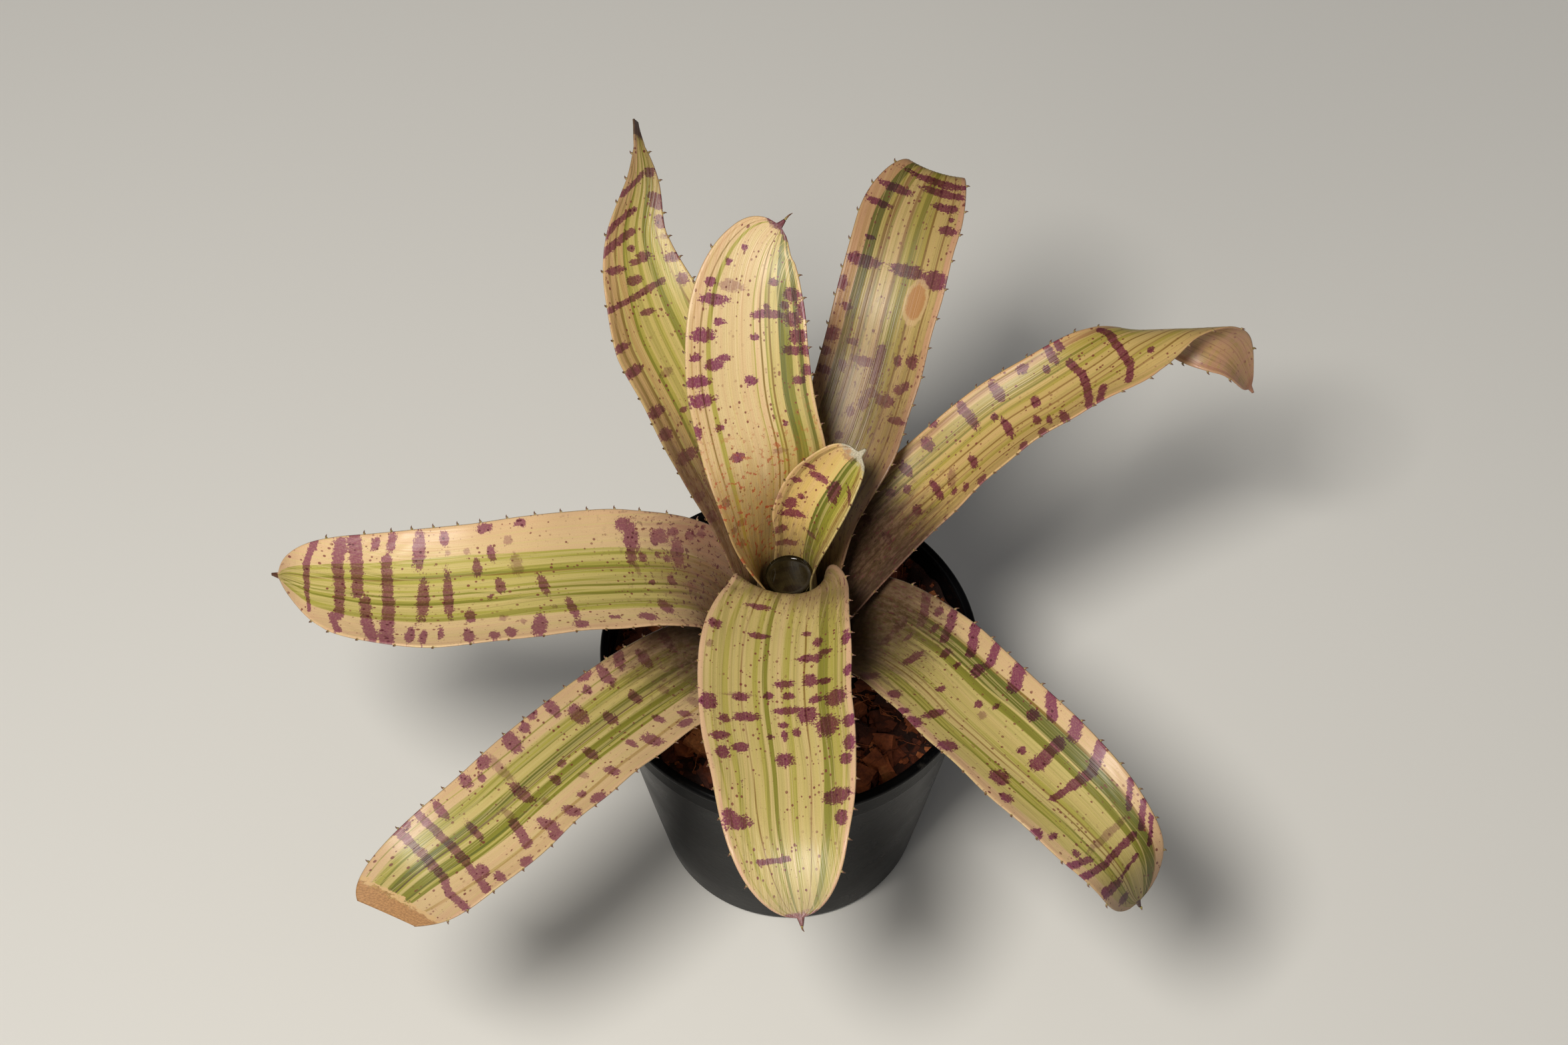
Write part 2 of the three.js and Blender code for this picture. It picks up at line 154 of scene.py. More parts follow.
# %% Running a tree and keeping its result as a plain mesh
def run_tree(piece, tree, **values):
    """Sets a tree's inputs by their identifiers, and swaps the piece's mesh for what the tree makes."""
    modifier = piece.modifiers.new(tree.name, "NODES")
    modifier.node_group = tree
    for socket in tree.interface.items_tree:
        if socket.item_type == "SOCKET" and socket.in_out == "INPUT" and socket.name in values:
            modifier[socket.identifier] = values[socket.name]
    graph = bpy.context.evaluated_depsgraph_get()
    made = bpy.data.meshes.new_from_object(piece.evaluated_get(graph))
    piece.modifiers.clear()
    piece.data = made
    return piece


# %% Saying which solid a piece stands for
def dress(piece, node):
    """The piece rides on the body and replaces a solid."""
    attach(piece, "root")
    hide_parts(node)
    piece.data.calc_loop_triangles()
    print(piece.name, "replaces", node, "with", len(piece.data.loop_triangles), "triangles")


# %% [markdown]
# ## Camera, floor and light
#
# The photograph looks down at the rosette at about 55 degrees. The camera stands 0.65 m in front of the
# pot and 1.12 m up, with the lens that was read from the leaves. The floor is plain and pale. The
# main light is a soft panel above the camera's left. A weak one on each side and a low one at the
# front keep the shadows open and show the gloss of the leaves.

# %% The camera
LENS, SENSOR_WIDTH = 50, 22.3
EYE = (-0.001939, -0.649921, 1.123523)
TILT = math.radians(34.7)


def place_camera():
    lens = bpy.data.cameras.new("view")
    lens.lens = LENS
    lens.sensor_width = SENSOR_WIDTH
    lens.dof.use_dof = False
    eye = bpy.data.objects.new("view", lens)
    eye.location = EYE
    eye.rotation_euler = (TILT, 0, 0)
    bpy.context.scene.collection.objects.link(eye)
    bpy.context.scene.camera = eye


place_camera()
print("camera stands at", tuple(round(value, 3) for value in EYE))


# %% Paint: a colour as it looks on screen, in the linear values that shaders take
def paint(red, green, blue, alpha=1.0):
    linear = [(c / 255 / 12.92) if c < 10.4 else ((c / 255 + 0.055) / 1.055) ** 2.4
              for c in (red, green, blue)]
    return (*linear, alpha)


def new_finish(name, **settings):
    """A material with one Principled shader. Constant settings go on the shader's own sockets."""
    surface = bpy.data.materials.new(name)
    surface.use_nodes = True
    shader = surface.node_tree.nodes["Principled BSDF"]
    for label, value in settings.items():
        shader.inputs[label.replace("_", " ")].default_value = value
    return surface, surface.node_tree, shader


# %% The floor, which reaches this far to each side
FLOOR = 1500


def lay_floor():
    corners = [(-FLOOR, -FLOOR, 0), (FLOOR, -FLOOR, 0), (FLOOR, FLOOR, 0), (-FLOOR, FLOOR, 0)]
    floor = make_piece("floor", corners, [(0, 1, 2, 3)])
    surface, _, shader = new_finish("floor_paper", Roughness=0.9)
    shader.inputs["Base Color"].default_value = paint(224, 222, 217)
    floor.data.materials.append(surface)


lay_floor()


# %% The light: place, aim, size, power and colour of each panel
WARM, WHITE = (1.0, 0.965, 0.9), (1, 1, 1)
ROSETTE = (0, 0, 0.1)
PANELS = {"key": ((-0.3, -0.58, 1.4), ROSETTE, 0.36, 18.5, WARM),
          "left_fill": ((-1.2, 0.2, 0.9), ROSETTE, 0.9, 1.3, WHITE),
          "right_fill": ((1.2, 0.3, 0.9), ROSETTE, 0.9, 1.3, WHITE),
          "front_fill": ((-0.52, -0.95, 0.62), (-0.02, -0.03, 0.1), 0.5, 1.8, WARM)}


def hang_light(name, place, aim, size, power, colour):
    panel = bpy.data.lights.new(name, "AREA")
    panel.shape = "DISK"
    panel.size = size
    panel.energy = power
    panel.color = colour
    lamp = bpy.data.objects.new(name, panel)
    lamp.location = place
    lamp.rotation_euler = (Vector(aim) - Vector(place)).to_track_quat("-Z", "Y").to_euler()
    bpy.context.scene.collection.objects.link(lamp)


for name, panel in PANELS.items():
    hang_light(name, *panel)

world = bpy.data.worlds.new("studio")
world.use_nodes = True
backdrop = world.node_tree.nodes["Background"].inputs
backdrop["Color"].default_value = (0.9, 0.93, 1.0, 1)
backdrop["Strength"].default_value = 0.07
bpy.context.scene.world = world
bpy.context.scene.view_settings.view_transform = "Standard"
print(len(PANELS), "soft panels and a dim pale world")

# %% [markdown]
# ## How a leaf is laid out
#
# Each leaf starts as a sheath that is wrapped round the axis, leaves the tube at its throat, and runs
# out as a channelled strap with a rounded or hooded tip. Nine leaves modelled by hand would drift away
# from the solids, so each is one row of numbers: where its midline passes, how wide it is, and how its
# section bends. The rows are the same as in the solids' source, so the finer leaf lies on the solid one.

# %% Sizes that all leaves share
POT_HEIGHT = 110.0
LAYER = dict(first_radius=7.8, pitch=1.95, first_up=-3.0, drop=2.7, flare=0.7, flare_up=40.0)
SHEATH = dict(spread=1.2, widest_wrap=math.radians(112), recovery=0.35, straight=14)
BLADE = dict(middle=1.0, margin=0.7, bulge=0.3)
# A leaf turns from its sheath's direction to its own over so many mm, and rolls along this part of it.
TURN_OVER, ROLL_FROM, ROLL_TO = 50, 0.25, 0.6
MUCRO = dict(length=2.6, half=0.9, end_half=0.2)
SPINE = dict(pitch=9.5, past_neck=6.0, before_tip=9.0, outwards=0.84, forwards=0.54)

# %% The nine leaves, from the inside out
LEAVES = {
    "leaf_heart": dict(
        azimuth=48, layer=0, width=32, neck=0.7, throat=50, channel=13,
        blade=[(13.8, -1.5, 70), (20, -3, 80), (24.5, -4.6, 87), (29, -6.8, 92)],
        taper=24, bulge=2.2, hood=(9, 22)),
    "leaf_back": dict(
        azimuth=98, sheath=140, layer=1, width=41, neck=0.88, throat=50, channel=36,
        funnel=(-10, 24, 0.3, 1),
        blade=[(20, 5, 80), (38, 8, 104), (59, 5, 123.5), (70, -1, 132), (76, -9, 136)],
        taper=52, bulge=2.2),
    "leaf_front": dict(
        azimuth=269, sheath=265, layer=2, width=50, neck=0.74, throat=40, channel=44,
        funnel=(-10, 20, 1.1, 0.5),
        blade=[(14.5, 0, 54), (37, -3, 64), (66, -3, 68), (91, 0, 70), (114, 1.7, 68),
               (137.5, 6, 56)],
        taper=100, bulge=3.2),
    "leaf_back_right": dict(
        azimuth=66, sheath=51, layer=3, width=36, neck=0.82, throat=34, channel=40,
        blade=[(25, 0, 52), (45, -2, 66), (64, -1.5, 80), (83, 0.5, 95), (110, 3.5, 108),
               (127, 3.5, 111), (129, 3.5, 103)],
        taper=30, bulge=2),
    "leaf_back_left": dict(
        azimuth=120, sheath=130, layer=4, width=39, neck=0.66, throat=32, channel=32,
        blade=[(28.5, 1.5, 49.5), (52.5, 3, 74), (82, 5.3, 100), (100, 1, 114), (114, -9.6, 124),
               (133, -17.5, 130)],
        taper=72, bulge=1.15, point=1.1, hood=(9, 60), twist=(60, 14, 0), tip_width=3.5),
    "leaf_right": dict(
        azimuth=30, layer=5, width=33.5, neck=1.05, throat=22, channel=26,
        blade=[(36, 0, 42), (60, 0, 59), (81, -1, 73), (99, -3, 81), (117, -4, 87.5),
               (131, -3.5, 90.5), (145, -5, 89), (159.5, -14.5, 80), (166.5, -24.5, 62.5)],
        taper=110, bulge=2, roll=-8, twist=(-114, 66, 6), arch=(13, 84, 34)),
    "leaf_left": dict(
        azimuth=188, sheath=170, layer=6, width=47.5, neck=0.81, throat=20, channel=46,
        blade=[(31, -4, 41), (51, 1.5, 56), (84, 9.5, 70), (106, 12, 73), (127, 10, 73),
               (148, 2.5, 72), (168.3, -7.3, 69)],
        taper=66, bulge=2.6, point=0.6, skew=(-14, 30)),
    "leaf_front_right": dict(
        azimuth=315, sheath=347, layer=7, width=42, neck=0.95, throat=14, channel=40,
        blade=[(31, 9.5, 31), (55, 5.8, 45), (86, -1, 56), (113, -4.5, 60), (138, -5.3, 57),
               (153, -5, 49), (161, -4.7, 31)],
        taper=66, bulge=2, point=0.42),
    "leaf_front_left": dict(
        azimuth=224, layer=8, width=40, neck=0.9, throat=4, channel=40,
        blade=[(32, 0, 24), (65, 3, 42), (115, 8, 55), (140, 10, 56), (163, 7.6, 52),
               (178, 3.6, 43)],
        taper=54, bulge=3, point=0.42, cut=5.8, skew=(-12, 26)),
}
print(len(LEAVES), "leaves, the outermost in layer", max(leaf["layer"] for leaf in LEAVES.values()))


# %% Places round the axis
def layer_up(layer):
    return LAYER["first_up"] - LAYER["drop"] * layer


def layer_radius(layer, up):
    start = layer_up(layer)
    rise = min(max((up - start) / (LAYER["flare_up"] - start), 0), 1)
    return LAYER["first_radius"] + LAYER["pitch"] * layer + LAYER["flare"] * rise


def side_of(azimuth):
    angle = np.radians(azimuth)
    return np.stack([-np.sin(angle), np.cos(angle), np.zeros_like(angle)], -1)


def place_of(azimuth, out, side, up):
    angle = math.radians(azimuth)
    foot = np.array([out * math.cos(angle), out * math.sin(angle), POT_HEIGHT + up])
    return foot + side * side_of(float(azimuth))


# %% A smooth path through given places
def smooth_path(points, per_piece=400):
    """A centripetal curve through the points: places, directions and the distance gone."""
    ends = [2 * points[0] - points[1], *points, 2 * points[-1] - points[-2]]
    places, tangents = [], []
    for i in range(len(points) - 1):
        last = i == len(points) - 2
        t = np.linspace(0, 1, per_piece + last, endpoint=last)[:, None]
        a, b, c, d = ends[i : i + 4]
        k0, k1, k2 = (np.linalg.norm(q - p) ** 0.5 for p, q in ((a, b), (b, c), (c, d)))
        m1 = ((b - a) / k0 - (c - a) / (k0 + k1) + (c - b) / k1) * k1
        m2 = ((c - b) / k1 - (d - b) / (k1 + k2) + (d - c) / k2) * k1
        e2 = -3 * b + 3 * c - 2 * m1 - m2
        e3 = 2 * b - 2 * c + m1 + m2
        places.append(b + m1 * t + e2 * t**2 + e3 * t**3)
        tangents.append(m1 + 2 * e2 * t + 3 * e3 * t**2)
    places, tangents = np.concatenate(places), np.concatenate(tangents)
    gone = np.concatenate([[0], np.cumsum(np.linalg.norm(np.diff(places, axis=0), axis=1))])
    return places, tangents / np.linalg.norm(tangents, axis=1)[:, None], gone


def leaf_midline(leaf):
    sheath = leaf.get("sheath", leaf["azimuth"])
    ups = [layer_up(leaf["layer"]), leaf["throat"] - SHEATH["straight"], leaf["throat"]]
    points = [place_of(sheath, layer_radius(leaf["layer"], up), 0, up) for up in ups]
    points += [place_of(leaf["azimuth"], *place) for place in leaf["blade"]]
    return smooth_path([np.array(point) for point in points])


for name, leaf in LEAVES.items():
    print(name, "is", round(leaf_midline(leaf)[2][-1], 1), "mm long")


# %% Where the rows across a leaf are, and where its spines stand
def neck_at(leaf):
    return leaf["throat"] - layer_up(leaf["layer"])


def spine_rows(leaf, length):
    first = neck_at(leaf) + SPINE["past_neck"]
    return np.arange(first, length - SPINE["before_tip"], SPINE["pitch"])


def leaf_rows(leaf, length, gap=0.85):
    end = length - MUCRO["length"]
    plain = np.linspace(0, end, int(end / gap) + 1)
    point = np.linspace(end, length, 5)[1:]
    return np.unique(np.round(np.concatenate([plain, point, spine_rows(leaf, length)]), 4))


# %% Half of the flat width along a leaf
def half_width(leaf, at, length):
    neck = neck_at(leaf)
    end = length - MUCRO["length"]
    sheath = lerp(SHEATH["spread"], leaf["neck"], smoothstep(at, 0, neck))
    strap = lerp(sheath, 1, smoothstep(at, neck, lerp(neck, length, SHEATH["recovery"])))
    towards_tip = np.clip(1 - (end + leaf.get("cut", 0) - at) / leaf["taper"], 0, 1)
    taper = np.maximum(1 - towards_tip ** leaf["bulge"], 0) ** leaf.get("point", 0.5)
    mucro = np.where(at > end - 0.01,
                     lerp(MUCRO["half"], MUCRO["end_half"], (at - end) / MUCRO["length"]), 0)
    half = np.maximum(leaf["width"] / 2 * strap * taper, leaf.get("tip_width", 0) / 2)
    return np.maximum(half, mucro)


# %% The directions across a leaf, with its roll and the twist at its tip
def leaf_frame(leaf, at, length, tangent):
    neck = neck_at(leaf)
    turned = smoothstep(at, neck, neck + TURN_OVER)
    side = side_of(lerp(leaf.get("sheath", leaf["azimuth"]), leaf["azimuth"], turned))
    lateral = side - np.sum(side * tangent, axis=1)[:, None] * tangent
    lateral /= np.linalg.norm(lateral, axis=1)[:, None]
    turn, start, end = leaf.get("twist", (0, 1, 0))
    roll = leaf.get("roll", 0) * smoothstep(at, ROLL_FROM * length, ROLL_TO * length)
    roll = np.radians(roll + turn * smoothstep(at, length - start, length - end))[:, None]
    lateral = lateral * np.cos(roll) + np.cross(tangent, lateral) * np.sin(roll)
    return lateral, np.cross(tangent, lateral)


# %% How strongly the section bends
def section_bend(leaf, at, length, point, tangent):
    tube = np.maximum(tangent[:, 2], 0) ** 2 / np.hypot(point[:, 0], point[:, 1])
    tip_channel, over = leaf.get("hood", (leaf["channel"], 1))
    channel = lerp(tip_channel, leaf["channel"], smoothstep(length - at, 0, over))
    return (tube**6 + channel**-6.0) ** (1 / 6)


# %% An arched tip, and a tip that is drawn out along one margin
def arched(leaf, bend, from_tip):
    """The section's bend, turned over into an arch towards the tip."""
    if "arch" not in leaf:
        return bend
    radius, start, end = leaf["arch"]
    bend = lerp(bend, -1 / radius, smoothstep(from_tip, start, end))
    return np.where(np.abs(bend) < 1e-4, 1e-4, bend)


def tip_skew(leaf, at, length, half, across):
    """How far each point slides along the leaf, which slants the outline of its tip."""
    slide, over = leaf.get("skew", (0, 1))
    near = smoothstep(at, length - over, length) * half * 2 / leaf["width"]
    return slide * near[:, None] * across[None]


# %% The middle surface of a leaf
def leaf_sheet(leaf, columns=46):
    places, tangents, gone = leaf_midline(leaf)
    length = gone[-1]
    at = leaf_rows(leaf, length)
    point = np.stack([np.interp(at, gone, places[:, i]) for i in range(3)], -1)
    tangent = np.stack([np.interp(at, gone, tangents[:, i]) for i in range(3)], -1)
    tangent /= np.linalg.norm(tangent, axis=1)[:, None]
    lateral, normal = leaf_frame(leaf, at, length, tangent)
    bend = section_bend(leaf, at, length, point, tangent)
    half = np.minimum(half_width(leaf, at, length), SHEATH["widest_wrap"] / bend)
    bend = arched(leaf, bend, length - at)
    across = np.linspace(-1, 1, columns + 1)
    start, over, left, right = leaf.get("funnel", (0, 1, 1, 1))
    opening = smoothstep(at, neck_at(leaf) + start, neck_at(leaf) + start + over)[:, None]
    curl = bend[:, None] * lerp(1, np.where(across[None] > 0, left, right), opening)
    turn = (curl * half[:, None] * across[None])[..., None]
    middle = (point[:, None] + lateral[:, None] * np.sin(turn) / curl[..., None]
              + normal[:, None] * (1 - np.cos(turn)) / curl[..., None]
              + tangent[:, None] * tip_skew(leaf, at, length, half, across)[..., None])
    face = normal[:, None] * np.cos(turn) - lateral[:, None] * np.sin(turn)
    edge = lateral[:, None] * np.cos(turn) + normal[:, None] * np.sin(turn)
    return dict(at=at, length=length, half=half, across=across, middle=middle, face=face, edge=edge,
                tangent=tangent)


trial = leaf_sheet(LEAVES["leaf_heart"])
print("the smallest leaf has", trial["middle"].shape[0], "rows of", trial["middle"].shape[1], "points")

# %% [markdown]
# ## From a sheet to a leaf
#
# A real leaf is a leathery strap about a millimetre thick that thins towards its margins, and its
# surface is faintly ribbed by the veins. The Solidify modifier could thicken the sheet, but it knows
# nothing of the thinner margin, so each row is made a closed loop: over the upper face, round one
# margin, back along the lower face and round the other. The loops are then joined row by row.

# %% Ribs and slow waves in the surface
RIB = dict(height=0.05, turn_per_mm=5.2)
WAVE = dict(slow=0.35, ruffle=0.28)


def surface_lift(sheet, seed):
    """Millimetres that the whole thickness is lifted by: slow waves, stronger near the margins."""
    along, side = sheet["at"][:, None], sheet["across"][None] * sheet["half"][:, None]
    free = smoothstep(along, 60, 110) * smoothstep(sheet["length"] - along, 4, 30)
    slow = WAVE["slow"] * np.sin(along / 13 + seed) * np.sin(side / 9 + 2.1 * seed)
    ruffle = WAVE["ruffle"] * np.abs(sheet["across"][None]) ** 3 * np.sin(along / 4.3 + 3 * seed)
    return free * (slow + ruffle)


# %% One closed loop a row
def leaf_loops(sheet, seed):
    across = sheet["across"]
    thick = lerp(BLADE["middle"], BLADE["margin"], across**2)[None, :, None]
    middle = sheet["middle"] + sheet["face"] * surface_lift(sheet, seed)[..., None]
    aside = across[None] * sheet["half"][:, None]
    ribs = RIB["height"] * np.sin(aside * RIB["turn_per_mm"])[..., None]
    upper = middle + sheet["face"] * (thick / 2 + ribs)
    lower = middle - sheet["face"] * thick / 2
    right = middle[:, :1] - BLADE["bulge"] * sheet["edge"][:, :1]
    left = middle[:, -1:] + BLADE["bulge"] * sheet["edge"][:, -1:]
    return np.concatenate([upper, left, lower[:, ::-1], right], axis=1)


def loop_faces(rows, around):
    """Quads between neighbouring loops, and a flat face over each end."""
    row, i = np.meshgrid(np.arange(rows - 1), np.arange(around), indexing="ij")
    j = (i + 1) % around
    a, b = row * around + i, row * around + j
    quads = np.stack([a, a + around, b + around, b], -1).reshape(-1, 4).tolist()
    first = list(range(around))
    last = [(rows - 1) * around + k for k in range(around)][::-1]
    return quads + [first, last]


print("ribs stand", RIB["height"], "mm proud,", round(2 * math.pi / RIB["turn_per_mm"], 1), "mm apart")

# %% [markdown]
# ## Marks that follow the leaf
#
# The maroon blotches, the cream and green bands and the brown sheath all follow the leaf, not the
# room, so a material that reads Object coordinates could not place them. Each vertex therefore
# carries a few numbers: how far along the leaf it is, how far to the side, how near the tip, and how
# deep inside a blotch. The blotches are listed, one line of numbers for each, and the shader
# later frays their edges.

# %% How deep a place lies inside a spot or a bar
def spot_depth(along, side, spot):
    """1.5 in the middle of an oval spot, 1 half way, 0.5 on its edge. A fifth number slants it."""
    at, off, long, broad = spot[:4]
    slant = spot[4] if len(spot) > 4 else 0
    reach_along = (along - at - slant * (side - off)) / (0.5 * long)
    reach_side = (side - off) / (0.5 * broad)
    return 1.5 - np.hypot(reach_along, reach_side)


def bar_depth(along, side, bar):
    """The same for a bar across the leaf, from one place to another, and its width."""
    at0, off0, at1, off1, wide = bar
    run = np.array([at1 - at0, off1 - off0])
    t = np.clip(((along - at0) * run[0] + (side - off0) * run[1]) / (run @ run), 0, 1)
    return 1.5 - np.hypot(along - at0 - t * run[0], side - off0 - t * run[1]) / (0.5 * wide)


def mark_depth(along, side, spots, bars=()):
    depth = np.zeros_like(along)
    for spot in spots:
        depth = np.maximum(depth, spot_depth(along, side, spot))
    for bar in bars:
        depth = np.maximum(depth, bar_depth(along, side, bar))
    return np.clip(depth, 0, 1.2)


# %% The blotches of the two lowest leaves: (along, aside, long, broad[, slant])
MARKS = {}
MARKS["leaf_front_left"] = dict(
    spots=[(65.5, -15, 4, 9), (78.5, -13.5, 4.5, 7.5), (87.5, -18, 5, 7, 0.4), (96, -15.5, 4, 9),
           (105, -15.5, 3, 3.5), (114, -10.5, 5.5, 8), (102.5, -19.5, 6, 3), (120, -17.5, 4, 7.5),
           (127, -20, 4, 3), (132, -18, 3.5, 4), (139, -17, 5.5, 8), (149, -2.3, 4, 10),
           (150.5, -18, 5, 4), (154.5, -15, 2.5, 3), (159.5, -17.5, 4.5, 5), (173.5, -15.5, 3, 7.5),
           (93, -4, 4, 5.5), (106.5, -3, 4, 6), (122.5, 3, 3.5, 6.5), (138, 2, 3, 4.5),
           (132, -1, 3, 2.5), (169.2, -3.3, 2.6, 8.5), (94.5, 7.5, 3, 5), (86.5, 12, 3.5, 5),
           (91, 16, 6, 4), (104.5, 13.5, 5, 8), (110, 9.5, 2.5, 5), (124, 13.5, 3.5, 5.5),
           (137.5, 13, 3, 3), (136, 18.5, 5, 4.5), (145, 16, 4, 8), (153, 13, 3.5, 9),
           (154.8, 18.5, 3.5, 6), (165.5, 18.5, 3, 5), (175.5, 10, 3.5, 6), (173.3, 16.5, 2.5, 6),
           (184.5, -18.5, 2, 3)],
    bars=[(180.2, -18.5, 177.8, -4, 2.6), (177.8, -4, 177.6, 3, 2.8), (177.6, 3, 178.2, 18, 2.2),
          (187, -18, 186, -5, 2.2), (186, -5, 186, 3, 2.6), (186, 3, 188, 9, 2.8),
          (188, 9, 186.5, 19, 3), (158.5, 3, 161.5, 13, 3)],
    faint=[(79, 10, 4, 6.5), (148, -13, 3.5, 12), (157.5, 0, 2.5, 6), (146.5, 5.5, 3, 3),
           (131, 7.5, 3, 3.5), (82, -1, 4, 4)])
MARKS["leaf_front_right"] = dict(
    spots=[(65, 0, 3.5, 6), (65, 6.5, 4, 7.5), (72, 4.5, 2, 4), (78, 12, 3, 3.5), (75, 17.5, 3, 3.5),
           (82, -1, 3.8, 8.5), (81, -18, 5.5, 7), (96, -17, 5, 4.5), (89.5, 7.5, 3.8, 4),
           (97, 7, 2, 3), (104.5, 10.5, 4.8, 5.2), (106, -20, 3, 5), (112, -20, 5, 6),
           (111, -11.5, 3.5, 8), (102, -3, 2.5, 3.5), (116, 2.5, 3, 2.5), (121, 6, 2, 3),
           (125.5, -17.5, 5.2, 6.5), (133, 12, 4, 4.2), (140, 1, 2.8, 3), (143.5, -12, 6, 6),
           (150.5, -16.5, 3.8, 4), (164.5, -19, 3.5, 5), (168, -14.5, 2.2, 3.5),
           (176, -12.5, 2.5, 2.5), (199, -6, 3.5, 5)],
    bars=[(72, 11, 67.5, 19.5, 3.2), (84.3, 11, 80.5, 19.5, 3.4), (97, 13, 91, 20, 3.6),
          (106, 14.5, 103, 20.5, 3.4), (120, 15, 116.5, 20, 5), (138.5, 16, 133, 20.5, 3.5),
          (147, 1, 146.3, 11, 4.6), (148.5, 16, 145.5, 20.5, 4), (177.3, -18, 180, -10, 2),
          (159, -4, 160, 4, 2.2), (160, 4, 161, 12, 3.2), (161, 12, 157, 20.5, 3.6),
          (182, -17.5, 184.4, -7, 2), (184.4, -7, 184, 8, 2.2), (190.5, -13, 192.3, -6, 3),
          (191.5, -4, 189.5, 5, 1.2), (177, 12, 171, 18.5, 1.8), (184, 11, 178.5, 17, 1.8),
          (189.5, 10, 183, 16, 1.2)],
    faint=[(120.5, 0.5, 3.5, 3), (178.5, 0, 2.5, 20)])

# %% The blotches of the leaves that point left and right
MARKS["leaf_left"] = dict(
    spots=[(71, -8.8, 5, 10), (77, -14.5, 6, 5), (79, -13, 3, 3.5), (72, -16, 4, 3), (66, -15.5, 3, 3),
           (62.5, -17, 2.5, 3), (75.5, -6.5, 3, 2.5), (79, -8, 2, 2), (88, -14, 5.5, 11.5),
           (89.5, -7.5, 3.5, 6), (85, -7, 3, 3.5), (90.5, -18.5, 5, 4.5), (76, 1.5, 3.5, 4),
           (84.5, 2.5, 3, 2), (84, 13.2, 5, 6.5), (94, 18.8, 6.5, 4), (105, 18.2, 2, 2),
           (107, 17.8, 2, 1.8), (124, 0.5, 3, 8.5), (118, 12, 3, 10.5), (118.5, 20.5, 4.5, 4.5),
           (127, -22, 4, 2.5), (139.5, -22, 6, 3), (138.5, -13, 3, 5.5), (144.5, -8.8, 3, 7),
           (138, -1.3, 3, 6), (142, 2.2, 2, 2), (155, 0.5, 3, 18.5), (149, 9.5, 3, 6),
           (130.5, 18.5, 4.5, 11.5, 0.3), (139, 20, 3, 5.5), (150, 19.5, 3, 8.5),
           (155.5, -20, 3.5, 5), (165.3, -16.5, 5, 13), (163, 2, 3.7, 17), (157.5, 17, 1.5, 7),
           (162, 18.5, 2, 8), (165.5, 17.5, 2.5, 9), (143.5, 21, 2.5, 5), (177.3, -18.5, 3.5, 7),
           (183.3, -17, 3, 4.5)],
    bars=[(178, -12.5, 173.3, 4, 3.6), (173.3, 4, 171, 22, 3.4), (190, -17, 188, -10, 3.6),
          (188, -10, 184, 1.5, 3.6), (181, 3.5, 178.5, 11, 3.2), (178.5, 11, 174.5, 21, 3),
          (193.3, -15.5, 193.3, -8, 3.2), (193.3, -8, 186.8, 12.5, 3.2), (200, -14, 202.5, -6, 1.8),
          (202.5, -6, 202, 4, 2), (202, 4, 199.7, 11.5, 1.6), (190, 12, 184.5, 19, 2)],
    faint=[(67, 3, 5, 5), (131, -8, 4, 7.5), (132, -16.8, 3, 3), (88.5, -3, 2, 6), (147.5, -15, 3, 2),
           (154.5, -15, 2, 2), (123, 10, 1.5, 2), (140, 12, 2, 3), (134.5, 15, 1.5, 3)])
MARKS["leaf_right"] = dict(
    spots=[(66.5, -2.7, 3, 5.5), (80.5, -3.2, 3, 4), (90, -2.7, 2.8, 9.5), (82, 5.5, 3, 3),
           (77, 8.5, 3, 3.5), (86, 11.3, 3.3, 6), (65, 7.7, 2.5, 3.5), (94.8, -8.2, 2.5, 2.5),
           (99.5, -11, 2.5, 3.5), (106, -4, 2.8, 6), (106, -15, 4, 5), (97, 12.5, 3.8, 5.5),
           (113.3, 11.5, 3.2, 12), (124, -15.2, 3.2, 5), (125, 12, 3.5, 8), (131.5, -14.8, 3, 6),
           (131.5, -6.2, 2.5, 5), (134, 1.5, 3, 5), (135, -9.7, 1.8, 5.5), (139.5, -13, 3, 8.5),
           (136, 14, 4, 3.5), (147, 13, 3.3, 8), (174.8, -6.8, 2.3, 2.2), (121.8, -2, 2.6, 10),
           (120, 5, 2.5, 3), (103, 16.5, 3, 2.5), (143, 9.5, 2.5, 3), (151, 14.5, 3, 5)],
    bars=[(147.8, -15.5, 151, -5, 2.6), (151, -5, 152, 0, 2.6), (152, 0, 150.8, 7, 2.8),
          (162, -12.5, 166, -7, 2.2), (166, -7, 168.3, 9, 2.8), (168.3, 9, 167.3, 12.5, 2.6),
          (151.5, -15.5, 155, -9.5, 2.5)],
    faint=[(96.5, -3, 3.5, 7, 0.4)])

